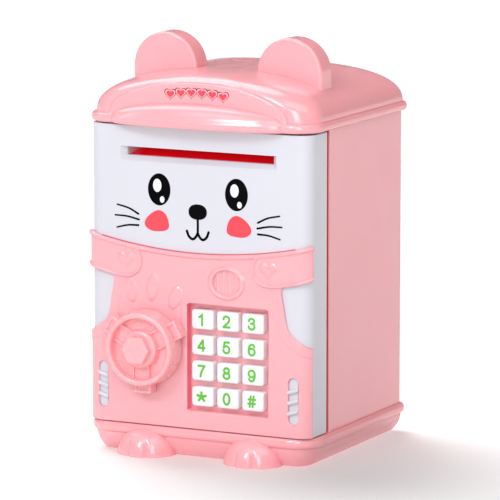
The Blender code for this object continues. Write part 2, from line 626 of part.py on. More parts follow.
def make_knob():
    """Handwheel: a drum with a raised ring, three spokes, a hub with a hexagon and three side tabs."""
    back, front = -KNOB_BACK, -KNOB_FRONT
    floor = front - 5.0
    profile = [(0, front - 1.0), (9.2, front - 1.0), (9.7, front - 1.6), (9.7, floor), (15.8, floor),
               (15.8, front - 0.6), (16.4, front), (18.0, front), (18.6, front - 0.7),
               (KNOB_RADIUS, back), (0, back)]
    knob = turned("knob", profile, "-Y", (KNOB_X, 0, KNOB_Z), steps=32)
    for degrees in (30, 150, 270):
        spoke = box("knob_spoke", (8.5, 16.5), (-floor - 1.4, -floor + 1.0), (-4.5, 4.5), cutter=True)
        tab = box("knob_tab", (15.0, 23.0), (-62.5, KNOB_BACK), (-4.75, 4.75), cutter=True)
        for piece in (spoke, tab):
            turn = Matrix.Rotation(-math.radians(degrees), 4, "Y")
            place = Matrix.Translation((KNOB_X * MM, 0, KNOB_Z * MM))
            bpy.context.view_layer.update()
            piece.matrix_world = place @ turn @ piece.matrix_world
            fuse(knob, piece)
    hexagon = [(KNOB_X + x, KNOB_Z + z) for x, z in arc((0, 0), 7.7, 0, 300, 5)]
    fuse(knob, plate("knob_hexagon", [hexagon], -71.0, -66.0, "Y", cutter=True))
    cut(knob, rods("knob_bore", [(KNOB_X, KNOB_Z)], SHAFT_RADIUS + GAP, -61.0, -50, "Y", cutter=True))
    return finish(knob, "pink_plastic", PINK)


def make_knob_shaft():
    """Shaft through the door, with a crank disc and pin at its inner end."""
    profile = [(0, 60.7), (SHAFT_RADIUS, 60.7), (SHAFT_RADIUS, 32.8), (6.8, 32.8), (6.8, 30.1), (0, 30.1)]
    shaft = turned("knob_shaft", profile, "-Y", (KNOB_X, 0, KNOB_Z))
    pin_x = KNOB_X + CRANK_RADIUS * math.sin(CRANK_ANGLE)
    pin_z = KNOB_Z + CRANK_RADIUS * math.cos(CRANK_ANGLE)
    fuse(shaft, rods("crank_pin", [(pin_x, pin_z)], 1.5, -31.0, -25.6, "Y", segments=16, cutter=True))
    return finish(shaft, "white_plastic", WHITE)


def make_latch():
    """Bolt with the crank pin's slot and a ramp, and the plunger that rides down the ramp."""
    outline = [(-53, 49), (-14, 49), (-14, 65), (-31, 65), (-31, 62), (-35.6, 62), (-42, 65), (-53, 65)]
    pin_x = KNOB_X + CRANK_RADIUS * math.sin(CRANK_ANGLE)
    slot = rectangle((pin_x - 1.85, pin_x + 1.85), (57.6, 63.2))
    bolt = plate("latch_bolt", [outline, slot], BOLT_FRONT, BOLT_BACK, "Y")
    finish(bolt, "steel", STEEL, 0.3, 1.0)
    plunger = rods("lock_plunger", [(-40, -27.8)], 2.0, 65.3, 88.0, segments=16)
    finish(plunger, "steel", STEEL, 0.3, 1.0)
    return bolt, plunger


def make_battery_cover():
    cover = box("battery_cover", BOX_X, (BOX_BACK + GAP, BOX_BACK + GAP + 1.6), BOX_Z)
    for i in range(3):
        z = 62.0 + 2.4 * i
        fuse(cover, box("grip_rib", (7, 27), (BOX_BACK + 1.5, BOX_BACK + 2.7), (z, z + 1.0), cutter=True))
    return finish(cover, "white_plastic", WHITE)


def gear_outline(teeth, first_tooth, centre):
    """Trapezoid teeth with backlash; first_tooth is the angle of one tooth's middle."""
    pitch_radius = teeth * GEAR_MODULE / 2
    step = 2 * math.pi / teeth
    root, tip = pitch_radius - 1.25 * GEAR_MODULE, pitch_radius + 0.85 * GEAR_MODULE
    shape = [(root, -0.30), (pitch_radius, -0.21), (tip, -0.11), (tip, 0.11), (pitch_radius, 0.21),
             (root, 0.30)]
    outline = []
    for tooth in range(teeth):
        middle = first_tooth + tooth * step
        for radius, share in shape:
            angle = middle + share * step
            outline.append((centre[0] + radius * math.cos(angle), centre[1] + radius * math.sin(angle)))
    return outline


def make_feed():
    """Two rubber rollers, the drive roller's gear, and the motor's pinion on its shaft."""
    def roller(name, centre_z, right_end):
        profile = [(0, right_end), (1.5, right_end), (1.5, 33), (ROLLER_RADIUS, 33), (ROLLER_RADIUS, 15),
                   (1.5, 15), (1.5, -15), (ROLLER_RADIUS, -15), (ROLLER_RADIUS, -33), (1.5, -33),
                   (1.5, -49.5), (0, -49.5)]
        made = turned(name, profile, "X", (0, FEED_Y, centre_z), steps=20)
        return finish(made, "grey_rubber", GREY, 0.8)
    drive = roller("drive_roller", DRIVE_Z, 52.3)
    idler = roller("idler_roller", IDLER_Z, 48.5)
    bore = arc((FEED_Y, DRIVE_Z), 1.8, 0, 330, 11)
    gear = plate("roller_gear", [gear_outline(GEAR_TEETH, -math.pi / 2, (FEED_Y, DRIVE_Z)), bore],
                 49.0, 52.0, "X")
    finish(gear, "white_plastic", WHITE)
    gap_up = math.pi / 2 + math.pi / PINION_TEETH
    pinion = plate("motor_pinion", [gear_outline(PINION_TEETH, gap_up, (FEED_Y, MOTOR_Z))], 49.0, 52.0, "X")
    fuse(pinion, rods("pinion_shaft", [(FEED_Y, MOTOR_Z)], 1.0, 46.0, 50.0, "X", segments=12, cutter=True))
    finish(pinion, "brass", BRASS, 0.3, 1.0)
    return drive, idler, gear, pinion


make_base_tray()
make_housing()
make_roof()
make_fasteners()

hinge = pivot("door_hinge_axis", (HINGE_X, HINGE_Y, 90))
knob_axis = pivot("knob_axis", (KNOB_X, DOOR_FRONT, KNOB_Z), hinge)
attach(hinge, make_door_shell(), make_front_panel(), make_back_cover(), make_note_guide(),
       make_feed_frame(), *make_electrics(), *make_keys(), *make_latch(), make_battery_cover(),
       *make_feed())
attach(knob_axis, make_knob(), make_knob_shaft())
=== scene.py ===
"""Looks of the toy safe coin bank: fine meshes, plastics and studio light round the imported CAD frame.

Lengths are in millimetres in the CAD frame: X to the right, Y to the back, Z up. raw() turns them into
metres when it makes a mesh.
"""
import json
from math import copysign, cos, degrees, dist, exp, pi, radians, sin

import bmesh
import bpy
import numpy as np
from mathutils import Matrix, Vector, kdtree
from mathutils.geometry import delaunay_2d_cdt

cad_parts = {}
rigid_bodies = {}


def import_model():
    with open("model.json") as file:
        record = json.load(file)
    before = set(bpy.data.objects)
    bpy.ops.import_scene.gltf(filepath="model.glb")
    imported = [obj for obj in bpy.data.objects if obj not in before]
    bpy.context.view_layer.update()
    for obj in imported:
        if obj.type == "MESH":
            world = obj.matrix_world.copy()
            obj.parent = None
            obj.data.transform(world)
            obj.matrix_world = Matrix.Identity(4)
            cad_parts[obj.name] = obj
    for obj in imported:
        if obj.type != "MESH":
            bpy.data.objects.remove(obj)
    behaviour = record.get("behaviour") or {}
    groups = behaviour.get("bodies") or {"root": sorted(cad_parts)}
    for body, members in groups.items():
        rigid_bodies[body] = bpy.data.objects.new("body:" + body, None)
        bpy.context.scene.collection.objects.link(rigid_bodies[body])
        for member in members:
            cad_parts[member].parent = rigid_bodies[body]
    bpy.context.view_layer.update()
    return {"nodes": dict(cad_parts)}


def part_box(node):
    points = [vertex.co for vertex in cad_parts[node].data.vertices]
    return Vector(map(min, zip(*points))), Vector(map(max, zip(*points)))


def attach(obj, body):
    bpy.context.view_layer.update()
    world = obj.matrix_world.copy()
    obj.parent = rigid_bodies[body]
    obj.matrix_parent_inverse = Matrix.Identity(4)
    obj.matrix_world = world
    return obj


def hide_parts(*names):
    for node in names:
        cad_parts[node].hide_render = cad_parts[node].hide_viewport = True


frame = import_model()
MM = 0.001


def extent(node, axis):
    """Where a CAD node's box starts and ends along an axis, in millimetres."""
    return tuple(corner[axis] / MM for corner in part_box(node))


def front_middle(node):
    """Middle of a CAD node's box as seen from the front: (x, z)."""
    return tuple(sum(extent(node, axis)) / 2 for axis in (0, 2))


# Places taken from the CAD frame.
HALF_WIDTH = extent("housing_shell", 0)[1]
HOUSING_FRONT, BACK = extent("housing_shell", 1)
BODY_LOW, BODY_HIGH = extent("housing_shell", 2)
BASE_TOP = extent("base_tray", 2)[1]
ROOF_LOW = extent("roof_cover", 2)[0]
DOOR_BACK = extent("door_shell", 1)[1]
DOOR_LOW, DOOR_HIGH = extent("door_shell", 2)
PANEL_FRONT = extent("front_panel", 1)[0]
DOOR_FRONT = PANEL_FRONT + 1.7
PANEL_LOW = extent("front_panel", 2)[0]
KNOB_FRONT, KNOB_BACK = extent("knob", 1)
KNOB = front_middle("knob_shaft")
SPEAKER = front_middle("speaker")
KEYPAD = front_middle("keypad_mat")
KEY_NAMES = [*"123456789", "star", "0", "hash"]

CORNER = 7.5                              # radius of the door's front corners
RIM_TOP = 173.6                           # where the dome starts
CROWN = 195.2
HINGE = (59.0, -36.2)                     # plan of the hinge axis
PIN_HOLE = 1.55
POSTS = [(x, y) for x in (-52.5, 52.5) for y in (-18.0, 46.0)]


# ---- materials

def nodes_of(name):
    made = bpy.data.materials.new(name)
    made.use_nodes = True
    tree = made.node_tree
    return made, tree, tree.nodes["Principled BSDF"]


def set_inputs(node, values):
    """Set inputs of a node, each to a constant or to another node's output."""
    for name, value in values.items():
        if isinstance(value, bpy.types.NodeSocket):
            node.id_data.links.new(value, node.inputs[name])
        else:
            node.inputs[name].default_value = value


def add_node(tree, kind, output, **values):
    node = tree.nodes.new(kind)
    set_inputs(node, values)
    return node.outputs[output]


def place_in(tree):
    """The object's own metres."""
    return add_node(tree, "ShaderNodeTexCoord", "Object")


def noise(tree, scale, detail=3.0, rough=0.5):
    return add_node(tree, "ShaderNodeTexNoise", "Fac", Scale=scale, Detail=detail, Roughness=rough,
                    Vector=place_in(tree))


def spread(tree, source, low, high, start=0.35, end=0.65):
    """A value's range from start to end, stretched to low and high."""
    made = tree.nodes.new("ShaderNodeMapRange")
    set_inputs(made, {"From Min": start, "From Max": end, "To Min": low, "To Max": high,
                      "Value": source})
    return made.outputs["Result"]


def two_tone(tree, colour, tint, factor):
    """A colour that wanders between two."""
    blend = tree.nodes.new("ShaderNodeMix")
    blend.data_type = "RGBA"
    set_inputs(blend, {"A": (*colour, 1.0), "B": (*tint, 1.0), "Factor": factor})
    return blend.outputs["Result"]


def glow_with(shader, colour, strength):
    set_inputs(shader, {"Emission Color": (*colour, 1.0), "Emission Strength": strength})


def plastic(name, colour, tint, rough=(0.15, 0.23), grain=0.012, gleam=0.5, scatter=0.0):
    """Moulded plastic, a little cloudy, with uneven gloss and a fine orange-peel skin.

    gleam is the specular level, and scatter the share of light that goes into the plastic.
    """
    made, tree, shader = nodes_of(name)
    cloud = spread(tree, noise(tree, 26.0, 4.0), 0.0, 1.0, 0.3, 0.7)
    skin = add_node(tree, "ShaderNodeBump", "Normal", Strength=grain, Distance=0.0002,
                    Height=noise(tree, 900.0, 2.0))
    set_inputs(shader, {"Base Color": two_tone(tree, colour, tint, cloud), "Normal": skin,
                        "Roughness": spread(tree, noise(tree, 140.0, 5.0, 0.6), *rough),
                        "IOR": 1.53, "Specular IOR Level": gleam})
    if scatter:
        set_inputs(shader, {"Subsurface Weight": scatter, "Subsurface Radius": (1.0, 0.35, 0.35),
                            "Subsurface Scale": 0.004})
    return made


def ink(name, colour, tint, rough=(0.3, 0.4), gleam=0.5):
    """A print or a painted shade: plastic with a coarser skin."""
    return plastic(name, colour, tint, rough, 0.02, gleam)


def metal(name, colour, tint):
    """Brushed metal, its grain drawn out along Z."""
    made, tree, shader = nodes_of(name)
    place = add_node(tree, "ShaderNodeMapping", "Vector", Scale=(1.0, 1.0, 12.0), Vector=place_in(tree))
    grain = add_node(tree, "ShaderNodeTexNoise", "Fac", Scale=420.0, Detail=4.0, Vector=place)
    set_inputs(shader, {"Base Color": two_tone(tree, colour, tint, grain), "Metallic": 1.0,
                        "Roughness": spread(tree, grain, 0.22, 0.4)})
    return made


def board_green():
    """Circuit board: solder mask with darker copper tracks showing through."""
    made, tree, shader = nodes_of("board")
    cells = add_node(tree, "ShaderNodeTexVoronoi", "Distance", Scale=330.0, Vector=place_in(tree))
    cells.node.feature = "DISTANCE_TO_EDGE"
    tracks = spread(tree, cells, 0.0, 1.0, 0.02, 0.06)
    set_inputs(shader, {"Base Color": two_tone(tree, (0.03, 0.20, 0.07), (0.01, 0.09, 0.03), tracks),
                        "Roughness": spread(tree, noise(tree, 200.0), 0.3, 0.5)})
    return made


PINK = plastic("pink_gloss", (0.95, 0.415, 0.45), (0.935, 0.40, 0.435), gleam=0.8, scatter=0.3)
# The knob is the same pink plastic: this copy's slightly paler colour is painted light for the bright look
# of its ring, and its higher specular level draws the ring's highlights.
KNOB_PINK_PAINTED_LIGHT = plastic("knob_gloss", (0.95, 0.43, 0.457), (0.935, 0.415, 0.443), (0.24, 0.32), gleam=0.95,
                    scatter=0.3)
WHITE = plastic("white_gloss", (0.645, 0.655, 0.71), (0.63, 0.64, 0.695))
KEY_WHITE = plastic("key_gloss", (0.88, 0.87, 0.90), (0.85, 0.84, 0.87), (0.16, 0.24))
RED = plastic("red_gloss", (0.80, 0.010, 0.025), (0.72, 0.008, 0.02))
# The red plastic glows faintly: painted light standing for light that shines into the banknote slot.
glow_with(RED.node_tree.nodes["Principled BSDF"], (0.55, 0.004, 0.012), 0.2)
INK_BLACK = ink("black_print", (0.002, 0.002, 0.003), (0.004, 0.004, 0.005), (0.6, 0.7), 0.02)
INK_CORAL = ink("coral_print", (0.95, 0.085, 0.11), (0.90, 0.075, 0.10), (0.5, 0.6), 0.1)
INK_WHITE = ink("white_print", (0.86, 0.86, 0.90), (0.82, 0.82, 0.86))
INK_GREEN = ink("green_print", (0.11, 0.56, 0.03), (0.10, 0.50, 0.025))
INK_RED = ink("red_print", (0.52, 0.008, 0.022), (0.46, 0.006, 0.018))
# Painted shade: a deep red laid in the joint groove round the door.
GROOVE_PAINTED_SHADE = ink("groove_shade", (0.95, 0.10, 0.14), (0.90, 0.09, 0.13), (0.5, 0.6), 0.1)
# Painted shade: a deeper pink for the walls of the keypad well and side windows that lie in shadow.
WELL_PAINTED_SHADE = ink("well_shade", (0.92, 0.20, 0.27), (0.90, 0.18, 0.25), gleam=0.2)
# Painted shade: the dark red of the shadow line along the pink panel's top edge.
GAP_PAINTED_SHADE = ink("gap_shade", (0.72, 0.12, 0.17), (0.66, 0.10, 0.15), (0.5, 0.6), 0.1)
INK_PALE = ink("pale_print", (0.95, 0.55, 0.60), (0.92, 0.50, 0.56))
STEEL = metal("steel", (0.62, 0.62, 0.64), (0.46, 0.46, 0.48))
BRASS = metal("brass", (0.78, 0.58, 0.24), (0.62, 0.44, 0.16))
DARK = plastic("dark_moulding", (0.03, 0.03, 0.035), (0.045, 0.045, 0.05), (0.4, 0.6), 0.1)
RUBBER = plastic("grey_rubber", (0.30, 0.30, 0.32), (0.25, 0.25, 0.27), (0.65, 0.85), 0.25)
BATTERY = ink("battery_wrap", (0.03, 0.06, 0.20), (0.02, 0.04, 0.15), (0.2, 0.3))
SLOT_LOOKS = {
    "pink_plastic": PINK, "white_plastic": WHITE, "key_plastic": KEY_WHITE, "red_plastic": RED,
    "steel": STEEL, "dark_plastic": DARK, "grey_rubber": RUBBER, "circuit_board": board_green(),
    "battery_sleeve": BATTERY, "brass": BRASS,
}
for node in frame["nodes"].values():
    for place in node.material_slots:
        packed = place.material.name if place.material else ""
        for word, look in SLOT_LOOKS.items():
            if packed.startswith(word):
                place.material = look
                break


# ---- mesh builders

def add_object(name, data):
    obj = bpy.data.objects.new(name, data)
    bpy.context.scene.collection.objects.link(obj)
    return obj


def raw(name, verts, faces, weld=2e-7):
    """A closed mesh object from millimetre points, its normals outwards; weld is in metres."""
    mesh = bpy.data.meshes.new(name)
    mesh.from_pydata([(x * MM, y * MM, z * MM) for x, y, z in verts], [], faces)
    bm = bmesh.new()
    bm.from_mesh(mesh)
    bmesh.ops.remove_doubles(bm, verts=bm.verts, dist=weld)
    bmesh.ops.recalc_face_normals(bm, faces=bm.faces)
    bm.to_mesh(mesh)
    bm.free()
    return add_object(name, mesh)


def loft(name, rings):
    """A skin over rings with equal numbers of points, closed at both ends."""
    count = len(rings[0])
    verts = [point for ring in rings for point in ring]
    last = len(verts) - count
    faces = []
    for a in range(0, last, count):
        for i in range(count):
            j = (i + 1) % count
            faces.append((a + i, a + j, a + count + j, a + count + i))
    faces += [tuple(reversed(range(count))), tuple(range(last, last + count))]
    return raw(name, verts, faces)


def turns(count):
    """Angles spaced evenly round a circle."""
    return [2 * pi * i / count for i in range(count)]


def arc(centre, radius, start, end, steps):
    """Points of an arc, from one angle to another in degrees."""
    angles = [radians(start + (end - start) * i / steps) for i in range(steps + 1)]
    return [(centre[0] + radius * cos(a), centre[1] + radius * sin(a)) for a in angles]


def directions(line):
    """Unit vectors across an open line and along it, at each of its points."""
    ahead = np.gradient(line, axis=0)
    ahead /= np.linalg.norm(ahead, axis=1)[:, None]
    return np.stack([-ahead[:, 1], ahead[:, 0]], 1), ahead


def inset(outline, depth):
    """A closed counter-clockwise outline moved inwards."""
    points = np.array(outline, float)
    ahead = np.roll(points, -1, 0) - points
    ahead /= np.linalg.norm(ahead, axis=1)[:, None]
    behind = np.roll(ahead, 1, 0)
    out_a = np.stack([ahead[:, 1], -ahead[:, 0]], 1)
    out_b = np.stack([behind[:, 1], -behind[:, 0]], 1)
    mitre = (out_a + out_b) / np.maximum(1 + (out_a * out_b).sum(1), 0.3)[:, None]
    return points - mitre * depth


def counter_clockwise(outline):
    x, y = np.array(outline, float).T
    area = (x * np.roll(y, -1) - y * np.roll(x, -1)).sum()
    return list(outline) if area > 0 else list(reversed(outline))


def slab(name, outline, low, high, axis="Z", low_edge=0.0, high_edge=0.0, steps=5):
    """A prism along Z or Y with rounded edges at its two ends."""
    outline = counter_clockwise(outline)
    bends = [pi / 2 * i / steps for i in range(steps + 1)]
    levels = []
    if low_edge:
        levels += [(low_edge * (1 - sin(a)), low + low_edge * (1 - cos(a))) for a in bends[:-1]]
    levels += [(0.0, low + low_edge), (0.0, high - high_edge)]
    if high_edge:
        levels += [(high_edge * (1 - cos(a)), high - high_edge * (1 - sin(a))) for a in bends[1:]]
    rings = []
    for depth, level in levels:
        ring = inset(outline, depth) if depth else outline
        rings.append([(u, v, level) if axis == "Z" else (u, level, v) for u, v in ring])
    return loft(name, rings)


def brick(name, x, y, z, front_edge=0.0):
    outline = [(x[0], z[0]), (x[1], z[0]), (x[1], z[1]), (x[0], z[1])]
    return slab(name, outline, *y, axis="Y", low_edge=front_edge, steps=3)


def rod(name, centre, radius, low, high, axis="Z", count=32):
    return slab(name, arc(centre, radius, 0, 360 - 360 / count, count - 1), low, high, axis)


def turned(name, profile, place, steps):
    """A piece turned about an axis along -Y; the profile is (radius, distance to the front)."""
    rings = [[(place[0] + max(radius, 0.02) * cos(a), -height,
               place[1] + max(radius, 0.02) * sin(a)) for a in turns(steps)]
             for radius, height in profile]
    return loft(name, rings)


def combine(obj, operation, tools):
    """Join tools to an object or cut them out of it, apply that and remove the tools."""
    for tool in tools:
        change = obj.modifiers.new(operation, "BOOLEAN")
        change.operation, change.object, change.solver = operation, tool, "MANIFOLD"
    bpy.context.view_layer.update()
    shape = bpy.data.meshes.new_from_object(obj.evaluated_get(bpy.context.evaluated_depsgraph_get()))
    obj.modifiers.clear()
    old, obj.data = obj.data, shape
    bpy.data.meshes.remove(old)
    for tool in tools:
        bpy.data.objects.remove(tool, do_unlink=True)
    return obj


def cut(obj, *tools):
    return combine(obj, "DIFFERENCE", tools)


def fuse(obj, *tools):
    return combine(obj, "UNION", tools)


def place_piece(obj, look, body, slot, *nodes, sharp=32, weighted=True):
    """Finish a piece: its plastic, its shading, its body and the CAD nodes it stands for."""
    obj.data.materials.clear()
    obj.data.materials.append(look)
    obj.data.shade_smooth()
    obj.data.set_sharp_from_angle(angle=radians(sharp))
    if weighted:
        normals = obj.modifiers.new("normals", "WEIGHTED_NORMAL")
        normals.keep_sharp, normals.weight = True, 60
    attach(obj, body)
    if nodes:
        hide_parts(*nodes)


def second_look(obj, look, chosen):
    """Give faces a second material, chosen by their middle in millimetres and their normal."""
    obj.data.materials.append(look)
    for face in obj.data.polygons:
        if chosen(*(face.center / MM), face.normal):
            face.material_index = 1


def mirrored(points, side):
    """Points as drawn for the right side, or moved to the left where side is -1."""
    return [(side * x, z) for x, z in points]


def smooth_line(points, per=6, closed=False):
    """Catmull-Rom curve through points, with per steps between two of them."""
    points = [np.array(p, float) for p in points]
    if closed:
        points = points[-1:] + points + points[:2]
    else:
        points = [2 * points[0] - points[1]] + points + [2 * points[-1] - points[-2]]
    made = [0.5 * (2 * b + (c - a) * t + (2 * a - 5 * b + 4 * c - d) * t ** 2
                   + (3 * b - a - 3 * c + d) * t ** 3)
            for a, b, c, d in zip(points, points[1:], points[2:], points[3:])
            for t in np.arange(per) / per]
    return [tuple(p) for p in (made if closed else made + points[-2:-1])]


def rounded_box(x1, x2, y1, y2, radius, steps=5, low_radius=None):
    """Rectangle with round corners, those at y1 with a radius of their own."""
    low = low_radius or radius
    made = []
    for x, y, r, start in ((x2 - radius, y2 - radius, radius, 0), (x1 + radius, y2 - radius, radius, 90),
                           (x1 + low, y1 + low, low, 180), (x2 - low, y1 + low, low, 270)):
        made += arc((x, y), r, start, start + 90, steps)
    return made


def rounded_ring(half_x, front, back, front_radius, back_radius, z):
    return [(*p, z) for p in rounded_box(-half_x, half_x, front, back, back_radius, 14, front_radius)]


def body_ring(offset, z, front_corner=12.0, back_corner=3.0):
    """The body's plan, grown by an offset."""
    return rounded_ring(HALF_WIDTH + offset, DOOR_FRONT - offset, BACK + offset, front_corner + offset,
                        max(back_corner + offset, 1.2), z)


def roof_ring(offset, z):
    return body_ring(offset, z, 11.5, 1.2)


def bent(value, power):
    """A sine or cosine for a superellipse of that power."""
    return copysign(abs(value) ** (2 / power), value)


def bead(inner, bulge, low, high, power):
    """Cross-section of a rounded moulding, from its lower root to its upper one."""
    return [(inner + bulge * abs(cos(a)) ** (2 / power),
             (low + high) / 2 + (high - low) / 2 * bent(sin(a), power))
            for a in [-pi / 2 + pi * i / 14 for i in range(15)]]


# ---- body

def build_base():
    skirt = smooth_line([(-4.9, 0), (-3.8, 0.4), (-2.6, 1.5), (-0.9, 4.2), (0.45, 7.8), (0.7, 9.8)], 5)
    profile = skirt + bead(0.75, 1.65, 9.9, BASE_TOP, 2.1)
    base = loft("base_shell", [body_ring(offset, z) for offset, z in profile])
    for side in (-1, 1):
        fuse(base, build_paw(side))
    hollow = [(-7, 2.2), (-4.2, 5), (-2.6, 9), (-2.2, BASE_TOP + 1)]
    cut(base, rod("floor_cut", (0, 0), 120, -20, 0), loft("hollow", [body_ring(*r) for r in hollow]))
    fuse(base, *[rod("cup", spot, 5, 1, 5.5) for spot in POSTS],
         rod("boss", HINGE, 3, 7.2, BASE_TOP - 0.01))
    cut(base, *[rod("sink", spot, 3.3, -1, 3) for spot in POSTS],
        *[rod("hole", spot, 1.8, 2, 7) for spot in POSTS], rod("socket", HINGE, PIN_HOLE, 8, 17))
    place_piece(base, PINK, "body", "pink_plastic", "base_tray")


def build_paw(side):
    """Half-egg with two grooves that part three toes and fade out half way up."""
    centre = (side * (HALF_WIDTH - 31.8), -52.8)
    across, ahead, tall = 15.6, 13.2, 13.5
    groove_angles, groove_width, groove_depth = (-20, 20), 4.6, 0.13
    fade_level, fade_over = 0.56, 0.055
    rows = 44
    rings = []
    for row in range(rows):
        up = pi / 2 * (row / (rows - 1)) * 0.985
        level = sin(up)
        fade = 1 / (1 + exp((level - fade_level) / fade_over))
        flat = cos(up) ** 0.92
        ring = []
        for turn in turns(120):
            depth = 0
            for angle in groove_angles:
                gap = (degrees(turn) - angle + 180) % 360 - 180
                depth += exp(-abs(gap / groove_width) ** 1.5)
            swell = 1 - groove_depth * depth * fade
            ring.append((centre[0] + across * flat * swell * sin(turn),
                         centre[1] - ahead * flat * swell * cos(turn), tall * level))
        rings.append(ring)
    under = [(x, y, -3) for x, y, _ in rings[0]]
    return loft("paw", [under] + rings)


def build_housing():
    """Back and side walls; a groove between ledge and rim, its faces in a painted shade of deep red, draws
    the dark line round the door.
    """
    corner, soft, lip, wall = 2.8, 0.45, 55.5, 2.2
    inner, ledge, rim_in = HALF_WIDTH - wall, HALF_WIDTH - 1.7, HALF_WIDTH - 1
    rim, rebate, lip_back = (HOUSING_FRONT + depth for depth in (1.5, 4, 2.4))
    right_out = [(rim_in, rim)] + arc((HALF_WIDTH - soft, rim + soft), soft, -90, 0, 8)
    right_out += arc((HALF_WIDTH - corner, BACK - corner), corner, 0, 90, 14)
    right_in = arc((HALF_WIDTH - corner, BACK - corner), corner - wall, 90, 0, 8)
    right_in += [(inner, lip_back), (lip, lip_back), (lip, HOUSING_FRONT), (ledge, HOUSING_FRONT),
                 (ledge, rebate), (rim_in, rebate)]
    plan = right_out + mirrored(right_out[::-1], -1) + mirrored(right_in[::-1], -1) + right_in
    shell = slab("housing_walls", plan, BODY_LOW, BODY_HIGH, low_edge=0.15, high_edge=0.15, steps=3)
    lumps = []
    for x, y in POSTS:
        side = copysign(1, x)
        lumps.append(rod("post", (x, y), 4.4, 5.8, 30))
        web = sorted((x + side * 3.5, side * (inner + 0.8)))
        lumps.append(brick("web", web, (y - 1.2, y + 1.2), (BODY_LOW + 1, 29)))
    fuse(shell, *lumps)
    cut(shell, *[rod("pilot", spot, 1.55, 5, 20) for spot in POSTS])
    place_piece(shell, PINK, "body", "pink_plastic", "housing_shell")
    # The groove's faces take a painted shade, deep red where shadow falls in the joint.
    second_look(shell, GROOVE_PAINTED_SHADE, lambda x, y, z, normal: (
        rim + 0.2 < y < rebate + 0.1 and ledge - 0.1 < abs(x) < HALF_WIDTH - 0.2))


def dome_rings(shrink, count):
    """The vault over the rim, or the hollow under it, as rings that shrink towards the top."""
    height = CROWN - RIM_TOP - shrink
    rings = []
    for step in range(count + 1):
        t = sin(pi / 2 * step / count) * 0.9985
        half_x, front, back = (size * (1 - t ** power) ** (1 / power) for size, power in (
            (63 - shrink, 2.26), (-54.6 + shrink, 5), (56.8 - shrink, 3.6)))
        most = 0.98 * min(half_x, -front, back)
        rings.append(rounded_ring(half_x, front, back, min(14.6 + 11.4 * t * t, most),
                                  min(2.9 + 11 * t * t, most), RIM_TOP + height * t))
    return rings


def build_roof():
    skin = [roof_ring(*r) for r in bead(0.7, 1.7, ROOF_LOW, 173.3, 2)]
    roof = loft("roof_shell", skin + dome_rings(0, 44))
    arch = [(50 * x, 173 + 18.1 * z) for x, z in arc((0, 0), 1, 0, 180, 80)]
    band = slab("band", arch + [(-50, 171), (50, 171)], DOOR_FRONT - 1, -38, "Y", low_edge=1.1)
    brim = [(47.2, 8, ROOF_LOW + 0.03), (47.9, 9, 168.95), (48.5, 9.7, 169.5), (48.8, 10.1, 170.4),
            (48.8, 10.2, 171.4), (48.5, 10, 172.3), (47.9, 9.5, 173.1)]
    brim += smooth_line([(47, 9.15, 173.8), (44, 8.3, 175.5), (36, 6.5, 177.9), (22, 4, 179.9),
                         (8, 1.8, 180.7)])
    visor = loft("visor", [[(*p, z) for p in oval((0, DOOR_FRONT - 0.5), a, b, count=96)]
                           for a, b, z in brim])
    ears, ear_radius = [], 18
    for ear_x in (-35, 35):
        outline = arc((ear_x, 194), ear_radius, 0, 180, 64)
        outline += [(ear_x - ear_radius, 180), (ear_x + ear_radius, 180)]
        ears.append(slab("ear", outline, -22.5, -9, "Y", low_edge=1.7, high_edge=1.7, steps=7))
    fuse(roof, band, visor, *ears)
    hollow = [roof_ring(-2.4, ROOF_LOW - 1), roof_ring(-2.6, RIM_TOP - 0.5)]
    cut(roof, loft("hollow", hollow + dome_rings(2.4, 16)))
    fuse(roof, rod("boss", HINGE, 3, ROOF_LOW + 0.01, 176))
    cut(roof, rod("socket", HINGE, PIN_HOLE, 160, 174.6),
        slab("coin", [(-15, 9.7), (15, 9.7), (15, 14.3), (-15, 14.3)], 185, 205))
    place_piece(roof, PINK, "body", "pink_plastic", "roof_cover", sharp=38)


# ---- door

SLOT_HALF, SLOT_LOW, SLOT_HIGH = 41, 152.4, 156.8    # throat of the banknote slot
COVER_SCREWS = [(-52, 22), (-52, 161.5), (51.5, 22), (51.5, 161.5)]
SHAFT_HOLE = 4.6
WINDOW_X, WINDOW_HALF = 53.75, 2.7                      # side windows of the pink panel
WINDOW_LOW, WINDOW_HIGH = 25, 43.4                    # centres of their round ends


def door_plan(depth):
    """Plan of the door: two front corners, and a small round one about the hinge axis."""
    x, front, back = HALF_WIDTH - depth, DOOR_FRONT + depth, DOOR_BACK - depth
    corner = CORNER - depth
    plan = arc((-x + corner, front + corner), corner, 180, 270, 18)
    plan += arc((x - corner, front + corner), corner, 270, 360, 18)
    if depth:
        return plan + [(x, -42), (55.9, -42), (55.9, back + 4), (-x, back + 4)]
    return plan + arc((x - 1.5, back - 1.5), 1.5, 0, 90, 8) + [(-x, back)]


def funnel(name, mouths):
    """Rectangular opening along Y; each mouth is (half width, lower edge, upper edge, y)."""
    return loft(name, [[(-w, y, low), (w, y, low), (w, y, high), (-w, y, high)]
                       for w, low, high, y in mouths])


